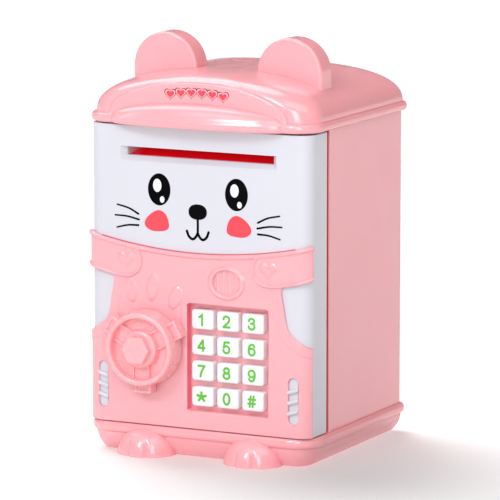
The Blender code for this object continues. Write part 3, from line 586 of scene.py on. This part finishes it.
def build_door():
    wall = 2
    rooted = DOOR_FRONT + wall - 0.4
    shell = slab("door_front", door_plan(0), DOOR_LOW, DOOR_HIGH, low_edge=0.35, high_edge=0.35, steps=3)
    cut(shell, slab("hollow", door_plan(wall), DOOR_LOW + wall, DOOR_HIGH - wall))
    lumps = [rod("boss", spot, 3.2, rooted, DOOR_BACK - wall - 0.3, "Y") for spot in COVER_SCREWS]
    lumps.append(brick("frame", (-46, 46), (rooted, -50), (148.6, 159.6)))
    lumps += [build_rib(side, z) for side in (-1, 1) for z in (28.6, 34, 39.4)]
    fuse(shell, *lumps)
    mouth = funnel("mouth", [
        (44.2, 149.6, 157.2, -54.8), (43.6, 150.1, 157, -54.3),
        (SLOT_HALF + 0.25, SLOT_LOW - 0.2, SLOT_HIGH + 0.1, -51.9),
        (SLOT_HALF, SLOT_LOW, SLOT_HIGH, -51.5), (SLOT_HALF, SLOT_LOW, SLOT_HIGH, -49)])
    tub = brick("tub", (KEYPAD[0] - 24.2, KEYPAD[0] + 24.2), (-60, -52),
                (KEYPAD[1] - 28.85, KEYPAD[1] + 28.85))
    cut(shell, mouth, tub, rod("shaft", KNOB, SHAFT_HOLE, -60, -50, "Y"),
        rod("sound", SPEAKER, 7, -60, -52, "Y"),
        *[rod("pilot", spot, 1.5, -46, -30, "Y") for spot in COVER_SCREWS],
        *[rod("pin", HINGE, PIN_HOLE, *ends) for ends in ((157.5, 170), (12, 25.3))])
    place_piece(shell, WHITE, "door", "white_plastic", "door_shell", sharp=40)


def build_guide():
    """Red banknote guide behind the slot; its throat narrows towards the rollers."""
    x, y, z = (extent("note_guide", axis) for axis in range(3))
    guide = brick("guide", x, y, z, 0.3)
    cut(guide, funnel("throat", [
        (SLOT_HALF + 0.5, SLOT_LOW - 0.3, SLOT_HIGH + 0.3, y[0] - 1),
        (SLOT_HALF + 0.4, SLOT_LOW - 0.2, SLOT_HIGH + 0.2, y[0] + 0.5),
        (SLOT_HALF - 0.2, SLOT_HIGH - 2.6, SLOT_HIGH - 0.4, y[0] + 9),
        (SLOT_HALF - 0.2, SLOT_HIGH - 2.4, SLOT_HIGH - 0.6, y[1] + 1)]))
    place_piece(guide, RED, "door", "red_plastic", "note_guide")
    second_look(guide, WHITE, lambda x, y, z, normal: abs(normal.x) > 0.9 and abs(x) < SLOT_HALF + 1)


def build_rib(side, z):
    """White slanted bar across a side window, following the door's corner."""
    half_long, half_tall, proud, slope = 2.9, 1.05, 0.7, 0.3
    rings = []
    for i in range(9):
        across = -half_long + 2 * half_long * i / 8
        x, y, level = on_panel(side * (53.7 + across), z + slope * across, -0.75)
        rings.append([(x, y + (1.6 if sin(a) < 0 else -proud * sin(a)),
                       level + half_tall * cos(a)) for a in turns(16)])
    return loft("rib", rings)


# The pink panel is drawn flat, as (distance along its front from the middle, height).
BEND = HALF_WIDTH - CORNER                # where the front starts to turn
BEND_RADIUS = CORNER + DOOR_FRONT - PANEL_FRONT
SIDE_END = BEND + BEND_RADIUS * radians(66)
PANEL_BACK_OUT = -1.4
FIELD = -0.45                             # the plain face, against the panel's foremost level
TUB_HALF = (22.8, 27.45)
TUB_FRONT, TUB_BACK = -51.2, -49.7        # front and back of the keypad tub's floor
GRILLE = (8.85, 7.45)                     # half axes of the loudspeaker's ring
GRILLE_MEAN = 8.1


def on_panel(s, z, out=0):
    """A point of the flat drawing wrapped round the door, out millimetres proud of the panel's front."""
    side = -1 if s < 0 else 1
    turn = max(abs(s) - BEND, 0) / BEND_RADIUS
    reach = BEND_RADIUS + out
    return (side * (min(abs(s), BEND) + reach * sin(turn)),
            DOOR_FRONT + CORNER - reach * cos(turn), z)


def panel_top(s):
    return 105 + 7.5 * (on_panel(s, 0)[0] / HALF_WIDTH) ** 2


# Edge of the panel's opening beside the keypad, from the door's side up to the strap.
SLEEVE = smooth_line([
    (SIDE_END, 61.1), (63, 61.5), (60.5, 62.4), (57, 64.3), (53.4, 66.7), (51.2, 69.2),
    (50.1, 71.9), (49.3, 75.5), (48.4, 81), (47.3, 86.5), (47, 88.6)])
SLEEVE += smooth_line([(47.05, 89.6), (47.35, 90.6), (48.2, 91.35), (50, 91.75)], 4)
STRAP_LOW = [(50, 91.75), (55.6, 92.85), (59.8, 93.85), (SIDE_END, 95.25)]


def walk(points, pitch):
    """Points spaced evenly along a line."""
    points = np.array(points, float)
    steps = np.linalg.norm(np.diff(points, axis=0), axis=1)
    along = np.concatenate([[0], np.cumsum(steps)])
    count = max(int(round(along[-1] / pitch)), 1)
    spots = np.linspace(0, along[-1], count + 1)
    return [tuple(float(np.interp(t, along, points[:, k])) for k in (0, 1)) for t in spots]


def panel_outline():
    sleeve = SLEEVE[:-1] + smooth_line(STRAP_LOW)
    top = [(s, panel_top(s)) for s in np.linspace(SIDE_END, 0, 80)]
    foot = (SIDE_END, PANEL_LOW)
    right = [(0, PANEL_LOW)]
    for run in ([(0, PANEL_LOW), foot], [foot, sleeve[0]], sleeve, [sleeve[-1], top[0]], top):
        right += walk(run, 0.6)[1:]
    return right + mirrored(right[-2:0:-1], -1)


def distance(points, line, closed=True):
    """Distance from each point to a line."""
    points, line = np.asarray(points, float), np.asarray(line, float)
    ends = np.roll(line, -1, 0) if closed else line[1:]
    starts = line if closed else line[:-1]
    nearest = np.full(len(points), 1e9)
    for a, b in zip(starts, ends):
        run = b - a
        t = np.clip(((points - a) @ run) / max(run @ run, 1e-12), 0, 1)
        gap = points - a - t[:, None] * run
        nearest = np.minimum(nearest, (gap * gap).sum(1))
    return np.sqrt(nearest)


def inside(points, loop):
    points, loop = np.asarray(points, float), np.asarray(loop, float)
    odd = np.zeros(len(points), bool)
    for (x1, y1), (x2, y2) in zip(loop, np.roll(loop, -1, 0)):
        if y1 == y2:
            continue
        crossing = (points[:, 1] > min(y1, y2)) & (points[:, 1] <= max(y1, y2))
        odd ^= crossing & (points[:, 0] < x1 + (points[:, 1] - y1) * (x2 - x1) / (y2 - y1))
    return odd


def between(points, loops):
    """Which points lie inside the first loop and outside the others."""
    first, *holes = [inside(points, loop) for loop in loops]
    return first & ~np.any(holes, axis=0)


def depth_in(points, outline):
    """How far each point lies inside an outline, negative outside it."""
    return distance(points, outline) * np.where(inside(points, outline), 1, -1)


def nearest(points, loops):
    return np.min([distance(points, loop) for loop in loops], axis=0)


def triangulate(loops, extra=()):
    """Points and triangles between an outline and its holes."""
    points, edges = [], []
    for loop in loops:
        start = len(points)
        points += [Vector(p) for p in loop]
        edges += [(start + i, start + (i + 1) % len(loop)) for i in range(len(loop))]
    points += [Vector(p) for p in extra]
    verts, _, faces, *_ = delaunay_2d_cdt(points, edges, [], 0, 1e-5)
    flat = np.array([tuple(v) for v in verts])
    faces = np.array([tuple(f) for f in faces])
    return flat, faces[between(flat[faces].mean(axis=1), loops)]


def heart(centre, width):
    """Heart outline, its point downwards."""
    made = []
    for t in turns(40):
        x = 16 * sin(t) ** 3
        z = 13 * cos(t) - 5 * cos(2 * t) - 2 * cos(3 * t) - cos(4 * t) + 2.2
        made.append((centre[0] + x * width / 32, centre[1] + z * width / 34))
    return counter_clockwise(made)


def leaned(shape, centre, angle):
    """A shape turned by an angle in degrees and put about a centre."""
    c, s = cos(radians(angle)), sin(radians(angle))
    return [(centre[0] + u * c - v * s, centre[1] + u * s + v * c) for u, v in shape]


def egg(centre, half_wide, half_tall, lean):
    """Egg outline, broad end up, leaning by an angle in degrees."""
    return leaned([(half_wide * cos(t) * (1 + 0.16 * sin(t)), half_tall * sin(t))
                   for t in turns(36)], centre, lean)


def oval(centre, half_wide, half_tall, power=2, count=56):
    return [(centre[0] + half_wide * bent(cos(t), power),
             centre[1] + half_tall * bent(sin(t), power)) for t in turns(count)]


def ramp(value, start, end):
    """Smooth step from 0 to 1."""
    t = np.clip((value - start) / (end - start), 0, 1)
    return t * t * (3 - 2 * t)


def ridge(gap, half_wide, height):
    """Elliptical bead about gap = 0."""
    return height * np.sqrt(np.clip(1 - (gap / half_wide) ** 2, 0, 1))


STRAP_END = smooth_line([
    (34.3, 106.5), (32.6, 103.6), (31.7, 100.3), (31.9, 96.9), (33.7, 93.8), (37.2, 91.9),
    (41.8, 91.5), (46.5, 92), (50, 92.65), (55.6, 93.75), (59.8, 94.75), (SIDE_END + 1, 96.3)], 5)
# Two hearts on the strap's ends, and the three ovals of a paw print on the field.
EMBOSSES = ([heart((side * 39.9, 99.2), 9.6) for side in (-1, 1)]
            + [egg((-37.3, 84.1), 3.5, 6.2, 10), egg((-24.8, 86.2), 3.4, 6.9, -8),
               egg((-12.2, 81.8), 3.6, 6.1, -22)])


def relief(points, loops):
    """Height of the panel's front at each point of the flat drawing."""
    s, z = points.T
    folded = np.stack([np.abs(s), z], 1)      # the sides are alike
    height = np.full(len(points), FIELD)
    # The strap's end, its bead, the lip along the top and the cuff beside the sleeve.
    tab = STRAP_END + [(SIDE_END + 1, 120), (34.3, 120)]
    height += 0.25 * ramp(depth_in(folded, tab), -0.3, 0.5)
    height = np.maximum(height, FIELD + ridge(distance(folded, STRAP_END, closed=False), 0.85, 1.15))
    top = np.array([(x, panel_top(x)) for x in np.linspace(-2, SIDE_END + 2, 90)])
    below_top = distance(folded, top, closed=False)
    lip = FIELD + 1.1 * (1 - np.clip(np.abs(below_top - 1.1) / 1.2, 0, 1) ** 3.2)
    height = np.where(below_top < 2.4, np.maximum(height, lip), height)
    to_sleeve = distance(folded, SLEEVE, closed=False)
    cuff = 0.32 * ramp(5 - to_sleeve, -0.35, 0.35) * ramp(92.5 - z, 0, 5)
    height = np.maximum(height, FIELD + cuff)
    for outline in EMBOSSES:
        depth = depth_in(points, outline)
        base = -0.2 if outline in EMBOSSES[:2] else FIELD
        swell = 0.5 * ramp(depth, -0.14, 0.22) + 0.5 * ramp(depth, 0.1, 2)
        height = np.maximum(height, np.where(depth > -0.3, base + swell, -9))
    # The loudspeaker: a raised ring round a sunk grille with four bars.
    u, v = (s - SPEAKER[0]) / GRILLE[0], (z - SPEAKER[1]) / GRILLE[1]
    ring = (np.hypot(u, v) - 1) * GRILLE_MEAN
    height = np.where(np.abs(ring) < 1.2, np.maximum(height, FIELD + ridge(ring, 1.2, 1.2)), height)
    recess = ramp(-ring, 1, 1.25)
    bars = np.max([ramp(0.95 - np.abs(s - SPEAKER[0] - offset), 0, 0.45)
                   for offset in (-5.1, -1.7, 1.7, 5.1)], axis=0)
    height = np.where(ring < -1, height * (1 - recess) + recess * (-1.12 + 0.62 * bars), height)
    # Every edge of the panel is rounded over.
    soft = 0.5
    shut = np.clip(soft - nearest(points, loops), 0, soft)
    return height - (soft - np.sqrt(np.clip(soft ** 2 - shut ** 2, 0, None)))


def feature_lines():
    """Points along the edges of the raised shapes, so that the mesh follows them."""
    made = [p for outline in EMBOSSES for depth in (-0.2, 0.05, 0.35) for p in inset(outline, depth)]
    strap = np.array(STRAP_END[:-4])
    out = directions(strap)[0]
    for offset in (-0.85, -0.45, 0, 0.45, 0.85):
        made += [(side * s, z) for s, z in strap + out * offset for side in (-1, 1)]
    for grow in (-1.25, -1, -0.5, 0, 0.5, 1.15):
        made += oval(SPEAKER, *(half * (1 + grow / GRILLE_MEAN) for half in GRILLE), count=110)
    return made


def panel_points(loops):
    """Points inside the panel's drawing: an even grid, rows along its edges and the feature lines."""
    pitch = 0.45
    squeeze = 0.87                        # rows of nearly equal-sided triangles
    grid = []
    for row in range(int(100 / (pitch * squeeze))):
        shift = pitch / 2 if row % 2 else 0
        grid += [(s + shift, PANEL_LOW + 0.6 + row * pitch * squeeze)
                 for s in np.arange(-SIDE_END + 0.6, SIDE_END - 0.4, pitch)]
    grid = np.array(grid)
    grid = grid[between(grid, loops) & (nearest(grid, loops) > 0.7)]
    rims = np.array([p for loop in loops for depth in (0.1, 0.24, 0.45)
                     for p in inset(counter_clockwise(loop), depth if loop is loops[0] else -depth)])
    rims = rims[between(rims, loops) & (nearest(rims, loops) > 0.08)]
    lines = np.array(feature_lines())
    crests = kdtree.KDTree(len(lines))
    for number, (s, z) in enumerate(lines):
        crests.insert((s, z, 0), number)
    crests.balance()
    grid = np.array([p for p in grid if crests.find((*p, 0))[2] > 0.3])
    return np.concatenate([grid, rims, lines[inside(lines, loops[0]) & (nearest(lines, loops) > 0.6)]])


def build_panel():
    outer = panel_outline()
    (kx, kz), (hx, hz) = KEYPAD, TUB_HALF
    opening, tub_out = (rounded_box(kx - hx - wall, kx + hx + wall, kz - hz - wall, kz + hz + wall, radius)
                        for wall, radius in ((0, 1.2), (1, 1.8)))
    windows = [arc((side * WINDOW_X, WINDOW_HIGH), WINDOW_HALF, 0, 180, 14)
               + arc((side * WINDOW_X, WINDOW_LOW), WINDOW_HALF, 180, 360, 14) for side in (-1, 1)]
    small = windows + [arc(KNOB, SHAFT_HOLE, 0, 352, 44)]
    loops = [outer, opening] + small
    keys = [rounded_box(x - 6.2, x + 6.2, z - 5.1, z + 5.1, 1.4)
            for x, z in (front_middle("key_" + name) for name in KEY_NAMES)]
    verts, faces = [], []

    def add_skin(points, triangles):
        start = len(verts)
        verts.extend(points)
        faces.extend(tuple(int(i) + start for i in f) for f in triangles)

    def add_wall(front, back):
        start, count = len(verts), len(front)
        verts.extend(front + back)
        for i in range(count):
            j = (i + 1) % count
            faces.append((start + i, start + j, start + count + j, start + count + i))

    def at_front(flat):
        return [on_panel(*p, out) for p, out in zip(flat, relief(np.array(flat, float), loops))]

    def at_back(flat):
        return [on_panel(*p, PANEL_BACK_OUT) for p in flat]

    def at_level(flat, y):
        return [(s, y, z) for s, z in flat]

    flat, triangles = triangulate(loops, panel_points(loops))
    add_skin(at_front(flat), triangles)
    back_grid = [(s, z) for s in np.arange(-60, 61, 4) for z in range(20, 100, 8)]
    flat, triangles = triangulate([outer, tub_out] + small, back_grid)
    add_skin(at_back(flat), triangles)
    for loop in [outer] + small:
        add_wall(at_front(loop), at_back(loop))
    add_wall(at_front(opening), at_level(opening, TUB_FRONT))
    add_wall(at_level(tub_out, on_panel(0, 0, PANEL_BACK_OUT)[1]), at_level(tub_out, TUB_BACK))
    for loop, level in ((opening, TUB_FRONT), (tub_out, TUB_BACK)):
        flat, triangles = triangulate([loop] + keys)
        add_skin(at_level(flat, level), triangles)
    for loop in keys:
        add_wall(at_level(loop, TUB_FRONT), at_level(loop, TUB_BACK))
    panel = raw("panel", verts, faces, weld=1e-5)
    place_piece(panel, PINK, "door", "pink_plastic", "front_panel", sharp=50, weighted=False)

    # Painted shade: the tub's left and top walls and the side windows' walls take a deeper pink where
    # shadow falls.
    def in_shade(x, _, z, normal):
        in_tub = (abs(x - kx) < hx + 0.05 and abs(z - kz) < hz + 0.05
                  and (normal.x > 0.8 or normal.z < -0.8))
        return in_tub or (abs(abs(x) - WINDOW_X) < 2.8 and 22 < z < 46.4 and abs(normal.y) < 0.2)

    second_look(panel, WELL_PAINTED_SHADE, in_shade)


# ---- knob, keys and prints

def build_knob():
    """Handwheel: a drum with a bright ring, three spokes, a hub with a hexagon and three side tabs."""
    back, front = -KNOB_BACK, -KNOB_FRONT - 3.2
    floor = front - 5
    ring = arc((17.2, front - 1.45), 1.45, 0, 180, 14)
    profile = [(0, floor + 2), (9.6, floor + 2), (9.6, floor), (15.35, floor), (15.7, floor + 0.35)]
    profile += ring[::-1] + [(18.7, front - 2.4), (19, front - 4), (19.35, back + 0.4), (19.2, back),
                             (0, back)]
    knob = turned("handwheel", profile, KNOB, 96)
    hub = [(0, front - 0.7), (7.6, front - 0.7), (8.9, front - 0.95), (9.45, front - 1.5),
           (9.7, front - 2.3), (9.8, floor - 1), (0, floor - 1)]
    hexagon = [(KNOB[0] + x, KNOB[1] + z) for x, z in rounded_hexagon(7.7, 0.9)]
    lumps = [turned("hub", hub, KNOB, 80),
             slab("hexagon", hexagon, KNOB_FRONT, -66, "Y", low_edge=0.75, steps=4)]
    cuts = []
    for angle in (30, 150, 270):
        spoke = brick("spoke", (8.5, 16.5), (-floor - 0.7, -floor + 1), (-4.6, 4.6), 0.3)
        rails = [brick("rail", (8.5, 16.2), (-floor - 1.7, -floor + 1), (z - 0.55, z + 0.55), 0.4)
                 for z in (-4.3, 4.3)]
        tab = brick("tab", (15, 23), (-62.5, KNOB_BACK), (-4.75, 4.75), 0.7)
        notch = brick("notch", (18.2, 21.7), (-63.5, -61.9), (-3.3, 3.3))
        turn = (Matrix.Translation((KNOB[0] * MM, 0, KNOB[1] * MM))
                @ Matrix.Rotation(-radians(angle), 4, "Y"))
        for part in [spoke, tab, notch] + rails:
            part.data.transform(turn)
        lumps += [spoke, tab] + rails
        cuts.append(notch)
    fuse(knob, *lumps)
    cut(knob, rod("bore", KNOB, 4.3, -61, -50, "Y"), *cuts)
    place_piece(knob, KNOB_PINK_PAINTED_LIGHT, "knob", "pink_plastic", "knob", sharp=42)


def rounded_hexagon(radius, soft):
    made = []
    for angle in range(0, 360, 60):
        a = radians(angle)
        reach = radius - soft / cos(radians(30))
        made += arc((reach * cos(a), reach * sin(a)), soft, angle - 30, angle + 30, 4)
    return made


def hoop(half_wide, level, half_tall):
    """Centre line of a round part of a sign."""
    return [(0.5 + half_wide * sin(k * pi / 6), level + half_tall * cos(k * pi / 6))
            for k in range(13)]


# Centre lines of the printed signs, in a box one unit wide and one tall.
SIGNS = {
    "1": [[(0.16, 0.74), (0.42, 0.83), (0.62, 1)], [(0.62, 1), (0.62, 0)]],
    "2": [[(0.03, 0.73), (0.12, 0.91), (0.34, 1), (0.62, 1), (0.88, 0.89), (0.95, 0.70), (0.80, 0.47),
           (0.40, 0.23), (0.03, 0)], [(0.03, 0), (1, 0)]],
    "3": [[(0.04, 0.76), (0.16, 0.93), (0.45, 1), (0.77, 0.94), (0.88, 0.77), (0.76, 0.60), (0.40, 0.545)],
          [(0.40, 0.545), (0.80, 0.49), (0.97, 0.29), (0.84, 0.08), (0.47, 0), (0.14, 0.07), (0, 0.26)]],
    "4": [[(0.76, 0), (0.76, 1)], [(0.76, 1), (0.38, 0.65), (0, 0.29)], [(0, 0.27), (1, 0.27)]],
    "5": [[(0.92, 1), (0.20, 1)], [(0.20, 1), (0.12, 0.72), (0.05, 0.47)],
          [(0.05, 0.47), (0.25, 0.61), (0.55, 0.64), (0.88, 0.52), (0.97, 0.30), (0.82, 0.07), (0.47, 0),
           (0.14, 0.07), (0, 0.25)]],
    "6": [[(0.93, 0.80), (0.80, 0.95), (0.52, 1), (0.20, 0.90), (0.03, 0.58), (0.02, 0.33)],
          hoop(0.48, 0.315, 0.315)],
    "7": [[(0, 1), (1, 1)], [(0.99, 0.98), (0.68, 0.66), (0.45, 0.34), (0.34, 0)]],
    "8": [hoop(0.40, 0.765, 0.235), hoop(0.48, 0.265, 0.265)],
    "0": [hoop(0.47, 0.5, 0.5)],
    "star": [[(0.5, 0.5), (0.5 + 0.50 * sin(a), 0.5 + 0.40 * cos(a))]
             for a in [k * pi / 2.5 for k in range(5)]],
    "hash": [[(0.20, -0.02), (0.38, 1.02)], [(0.62, -0.02), (0.80, 1.02)], [(-0.02, 0.30), (0.98, 0.30)],
             [(0.04, 0.70), (1.04, 0.70)]],
}
SIGNS["9"] = [[(1 - u, 1 - v) for u, v in line] for line in SIGNS["6"]]
SIGN_SIZES = {"star": (4.9, 5.6, 1.35), "hash": (3.8, 5.3, 1.05)}    # width, height, stroke


def print_sign(name, centre, front):
    """A printed sign standing a hair proud of its key's front."""
    wide, tall, width = SIGN_SIZES.get(name, (3.45, 5.4, 1.15))
    lumps = []
    for line in SIGNS[name]:
        points = [(centre[0] + (u - 0.5) * wide, centre[1] + (v - 0.5) * tall) for u, v in line]
        depth = 0.10 + 0.004 * len(lumps)     # no two strokes share a face
        level = (front - depth, front + 0.02 + depth / 9)
        if dist(points[0], points[-1]) < 0.01:
            loop = counter_clockwise(smooth_line(points[:-1], closed=True))
            ring = slab("stroke", inset(loop, -width / 2), *level, "Y")
            lumps.append(cut(ring, slab("hole", inset(loop, width / 2), front - 1, front + 1, "Y")))
        else:
            lumps.append(slab("stroke", stroke(points, width, per=5), *level, "Y"))
    sign = lumps[0]
    if lumps[1:]:
        fuse(sign, *lumps[1:])
    sign.name = "print_" + name
    place_piece(sign, INK_GREEN, "key_" + name, None, weighted=False)


def build_keys():
    """Keycaps with a flange behind the panel, and their printed signs."""
    wide, tall, bend = 6.1, 5, 1.25         # half width, half height, depth of the rounded front
    for name in KEY_NAMES:
        node = "key_" + name
        (x, z), (front, _) = front_middle(node), extent(node, 1)
        # Inset, place along Y and corner radius of each ring, from the back to the front.
        levels = [(-0.55, -48.2, 1), (-0.55, -49.3, 1), (0, -49.3, 1.3), (0, front + bend, 1.5)]
        levels += [(1.05 * (1 - cos(a)), front + bend - 1.1 * sin(a), 1.6)
                   for a in [pi / 2 * i / 7 for i in range(1, 8)]]
        levels += [(2.4, front + 0.05, 1.4), (3.6, front, 1)]
        rings = []
        for depth, y, radius in levels:
            rings.append([(u, y, v) for u, v in rounded_box(
                x - wide + depth, x + wide - depth, z - tall + depth, z + tall - depth, radius, 6)])
        place_piece(loft("cap_" + name, rings), KEY_WHITE, node, "key_plastic", node, sharp=50)
        print_sign(name, (x - 0.35, z), front)


def print_on_door(name, outline, look, level=0):
    """A flat print, or a painted shade, on the door's front; level lifts one print over another."""
    obj = slab(name, outline, DOOR_FRONT - 0.06 - 0.04 * level, DOOR_FRONT + 0.03, "Y")
    place_piece(obj, look, "door", None, weighted=False)


def stroke(points, width, taper=1, per=8):
    """Outline of a brush line with round ends."""
    line = np.array(smooth_line(points, per), float)
    side, ahead = directions(line)
    half = width / 2 * (1 - (1 - taper) * np.linspace(0, 1, len(line)))
    left, right = line + side * half[:, None], line - side * half[:, None]

    def round_end(k, sign):
        return [line[k] + half[k] * (sign * cos(a) * side[k] + sign * sin(a) * ahead[k])
                for a in [pi * i / 8 for i in range(1, 8)]]

    return [*left, *round_end(-1, 1), *right[::-1], *round_end(0, -1)]


SIDES = ((-1, "left"), (1, "right"))
CHEEK = [(-6.9, -1.6), (-5.2, 3.2), (-1.6, 5.4), (2.6, 3.9), (6.2, 0.4), (6.6, -3), (3, -5.3),
         (-2.4, -5.3), (-6, -4.2)]
WHISKERS = [[(33.6, 123), (39, 125.6), (45.6, 127.1)], [(33.3, 120.1), (40, 121.4), (46.8, 121.6)],
            [(33.6, 117.2), (39.6, 116.9), (45.8, 115.4)]]
MOUTH = [(6.1, 116.2), (5, 113.6), (3, 112.2), (1.2, 113.3), (0, 115.4)]


def build_face():
    """The cartoon animal's face, printed on the door."""
    for side, word in SIDES:
        x = side * 21.7
        print_on_door("eye_" + word, oval((x, 136.2), 6.35, 8.15), INK_BLACK)
        print_on_door("glint_big_" + word, oval((x - 1.1, 138.2), 2.35, 3.35), INK_WHITE, 1)
        print_on_door("glint_small_" + word, oval((x + 1.7, 131.2), 1.3, 1.65), INK_WHITE, 1)
        cheek = smooth_line([(side * 23.1 + side * u, 120.3 + v) for u, v in CHEEK], closed=True)
        print_on_door("cheek_" + word, cheek, INK_CORAL)
        for number, points in enumerate(WHISKERS, 1):
            print_on_door(f"whisker_{word}_{number}", stroke(mirrored(points, side), 1.05, 0.8), INK_BLACK)
    print_on_door("nose", oval((0, 126.1), 5.15, 3.9, power=2.25), INK_BLACK)
    print_on_door("lip_line", stroke([(0, 122), (0.05, 119), (0, 114.9)], 1.3), INK_BLACK)
    for side, word in SIDES:
        print_on_door("mouth_" + word, stroke(mirrored(MOUTH, side), 1.35), INK_BLACK)


def build_panel_gap():
    """A painted shadow: a dark red strip between the white front and the top edge of the pink panel."""
    across = np.linspace(-BEND, BEND, 90)
    edges = [[(x, panel_top(x) + lift) for x in across] for lift in (-0.3, 0.42)]
    print_on_door("panel_gap", edges[0] + edges[1][::-1], GAP_PAINTED_SHADE)


def build_band_print():
    """A row of small hearts along the roof's front band, each of three prints on one another."""
    level = DOOR_FRONT - 1
    for i in range(6):
        t = (i - 2.5) / 2.5
        centre = (14.7 * t, 186 - 1.2 * t * t)
        for word, size, look, lift in (("rim", 6.9, INK_RED, 0.05), ("field", 5.7, INK_PALE, 0.09),
                                       ("core", 4.5, INK_CORAL, 0.13)):
            obj = slab(f"band_heart_{i + 1}_{word}", heart(centre, size), level - lift, level + 0.03, "Y")
            place_piece(obj, look, "body", None, weighted=False)


# ---- studio

WORLD_LIGHT = 0.18
FLOOR_GLOW = 0.38
# Each lamp's azimuth from straight ahead towards +X, height and distance, its power, and then a sun's
# softness and colour, or the width and height of a soft box that draws the gloss. The floor has a sun
# of its own, "back" lights everything, and the other lamps light only the object.
LAMPS = [("key", -12, 38, 3.0, 1.15, 20, (1.0, 0.99, 1.06)),
         ("back", -125, 55, 3.0, 1.3, 45, (1.0, 1.0, 1.0)),
         ("floor", -125, 55, 3.0, 1.0, 30, (1.0, 1.0, 1.0)),
         ("fill", 74, 64, 3.0, 0.85, 40, (1.0, 0.76, 0.73)),
         ("strip_top", -8, 60, 1.1, 1.3, 0.9, 0.22), ("strip_left", -62, 28, 1.0, 0.6, 0.03, 0.6),
         ("soft_front", 27, 20, 1.1, 4.6, 0.36, 0.8)]


def direction(turn, tilt):
    a, e = radians(turn), radians(tilt)
    return Vector((sin(a) * cos(e), -cos(a) * cos(e), sin(e)))


def hang(lamp, turn, tilt, away, receivers):
    """Put a lamp that far from the object's middle, in metres, aimed at it."""
    towards = direction(turn, tilt)
    obj = add_object(lamp.name, lamp)
    obj.location = Vector((0, 0, 0.1)) + towards * away
    obj.rotation_euler = towards.to_track_quat("Z", "Y").to_euler()
    if receivers:
        obj.light_linking.receiver_collection = receivers


def stage_piece(name, colour, glow):
    """Name the newest mesh, give it a plain glowing material and keep it off the object."""
    obj = bpy.context.object
    obj.name = name
    look, _, shader = nodes_of(name)
    shader.inputs["Base Color"].default_value = (colour, colour, colour, 1.0)
    glow_with(shader, (1.0, 1.0, 1.0), glow)
    obj.data.materials.append(look)
    return obj, shader


def build_studio():
    bpy.ops.mesh.primitive_plane_add(size=60.0, location=(0, 0, 0))
    floor, shader = stage_piece("studio_floor", 0.85, FLOOR_GLOW)
    set_inputs(shader, {"Roughness": 0.9, "Specular IOR Level": 0.1})
    bpy.ops.mesh.primitive_uv_sphere_add(segments=48, ring_count=24, radius=9.0)
    sky, _ = stage_piece("studio_backdrop", 0.0, 1.0)
    sky.visible_diffuse = sky.visible_glossy = sky.visible_transmission = sky.visible_shadow = False

    world = bpy.data.worlds.new("studio")
    world.use_nodes = True
    set_inputs(world.node_tree.nodes["Background"],
               {"Color": (1.0, 1.0, 1.0, 1.0), "Strength": WORLD_LIGHT})
    bpy.context.scene.world = world

    object_only = bpy.data.collections.new("object_only")
    floor_only = bpy.data.collections.new("floor_only")
    floor_only.objects.link(floor)
    for name, turn, tilt, away, power, first, last in LAMPS:
        sun = isinstance(last, tuple)
        lamp = bpy.data.lights.new(name, "SUN" if sun else "AREA")
        lamp.energy = power
        if sun:
            lamp.angle, lamp.color = radians(first), last
        else:
            lamp.shape, lamp.size, lamp.size_y = "RECTANGLE", first, last
        hang(lamp, turn, tilt, away, {"floor": floor_only, "back": None}.get(name, object_only))
    bpy.context.scene.view_settings.view_transform = "Standard"


def build_camera():
    """A long lens at the photograph's viewing angle."""
    back, away = direction(26.4, 9.21), 2087.06
    look_at = Vector((29.22, DOOR_FRONT, 94.55 + BASE_TOP)) * MM
    data = bpy.data.cameras.new("camera")
    data.sensor_width, data.lens, data.shift_y = 36.0, 301.6, -0.0021
    data.clip_start, data.clip_end = 0.05, 100.0
    camera = add_object("camera", data)
    camera.location = look_at + back * away * MM
    camera.rotation_euler = (-back).to_track_quat("-Z", "Y").to_euler()
    bpy.context.scene.camera = camera


for build in (build_camera, build_studio, build_base, build_housing, build_roof, build_door, build_guide,
              build_panel, build_knob, build_keys, build_face, build_band_print, build_panel_gap):
    build()

# The pieces inside keep their CAD shape, with softened edges.
for name in ("door_back_cover", "battery_cover", "note_feed_frame", "latch_bolt", "lock_solenoid",
             "note_motor", "speaker", "circuit_board", "knob_shaft"):
    bevel = frame["nodes"][name].modifiers.new("soft_edges", "BEVEL")
    bevel.width, bevel.segments, bevel.harden_normals = 0.3 * MM, 2, True
    bevel.limit_method, bevel.angle_limit = "ANGLE", radians(50)

for obj in bpy.data.objects:
    if obj.type == "MESH" and not obj.name.startswith("studio_"):
        bpy.data.collections["object_only"].objects.link(obj)
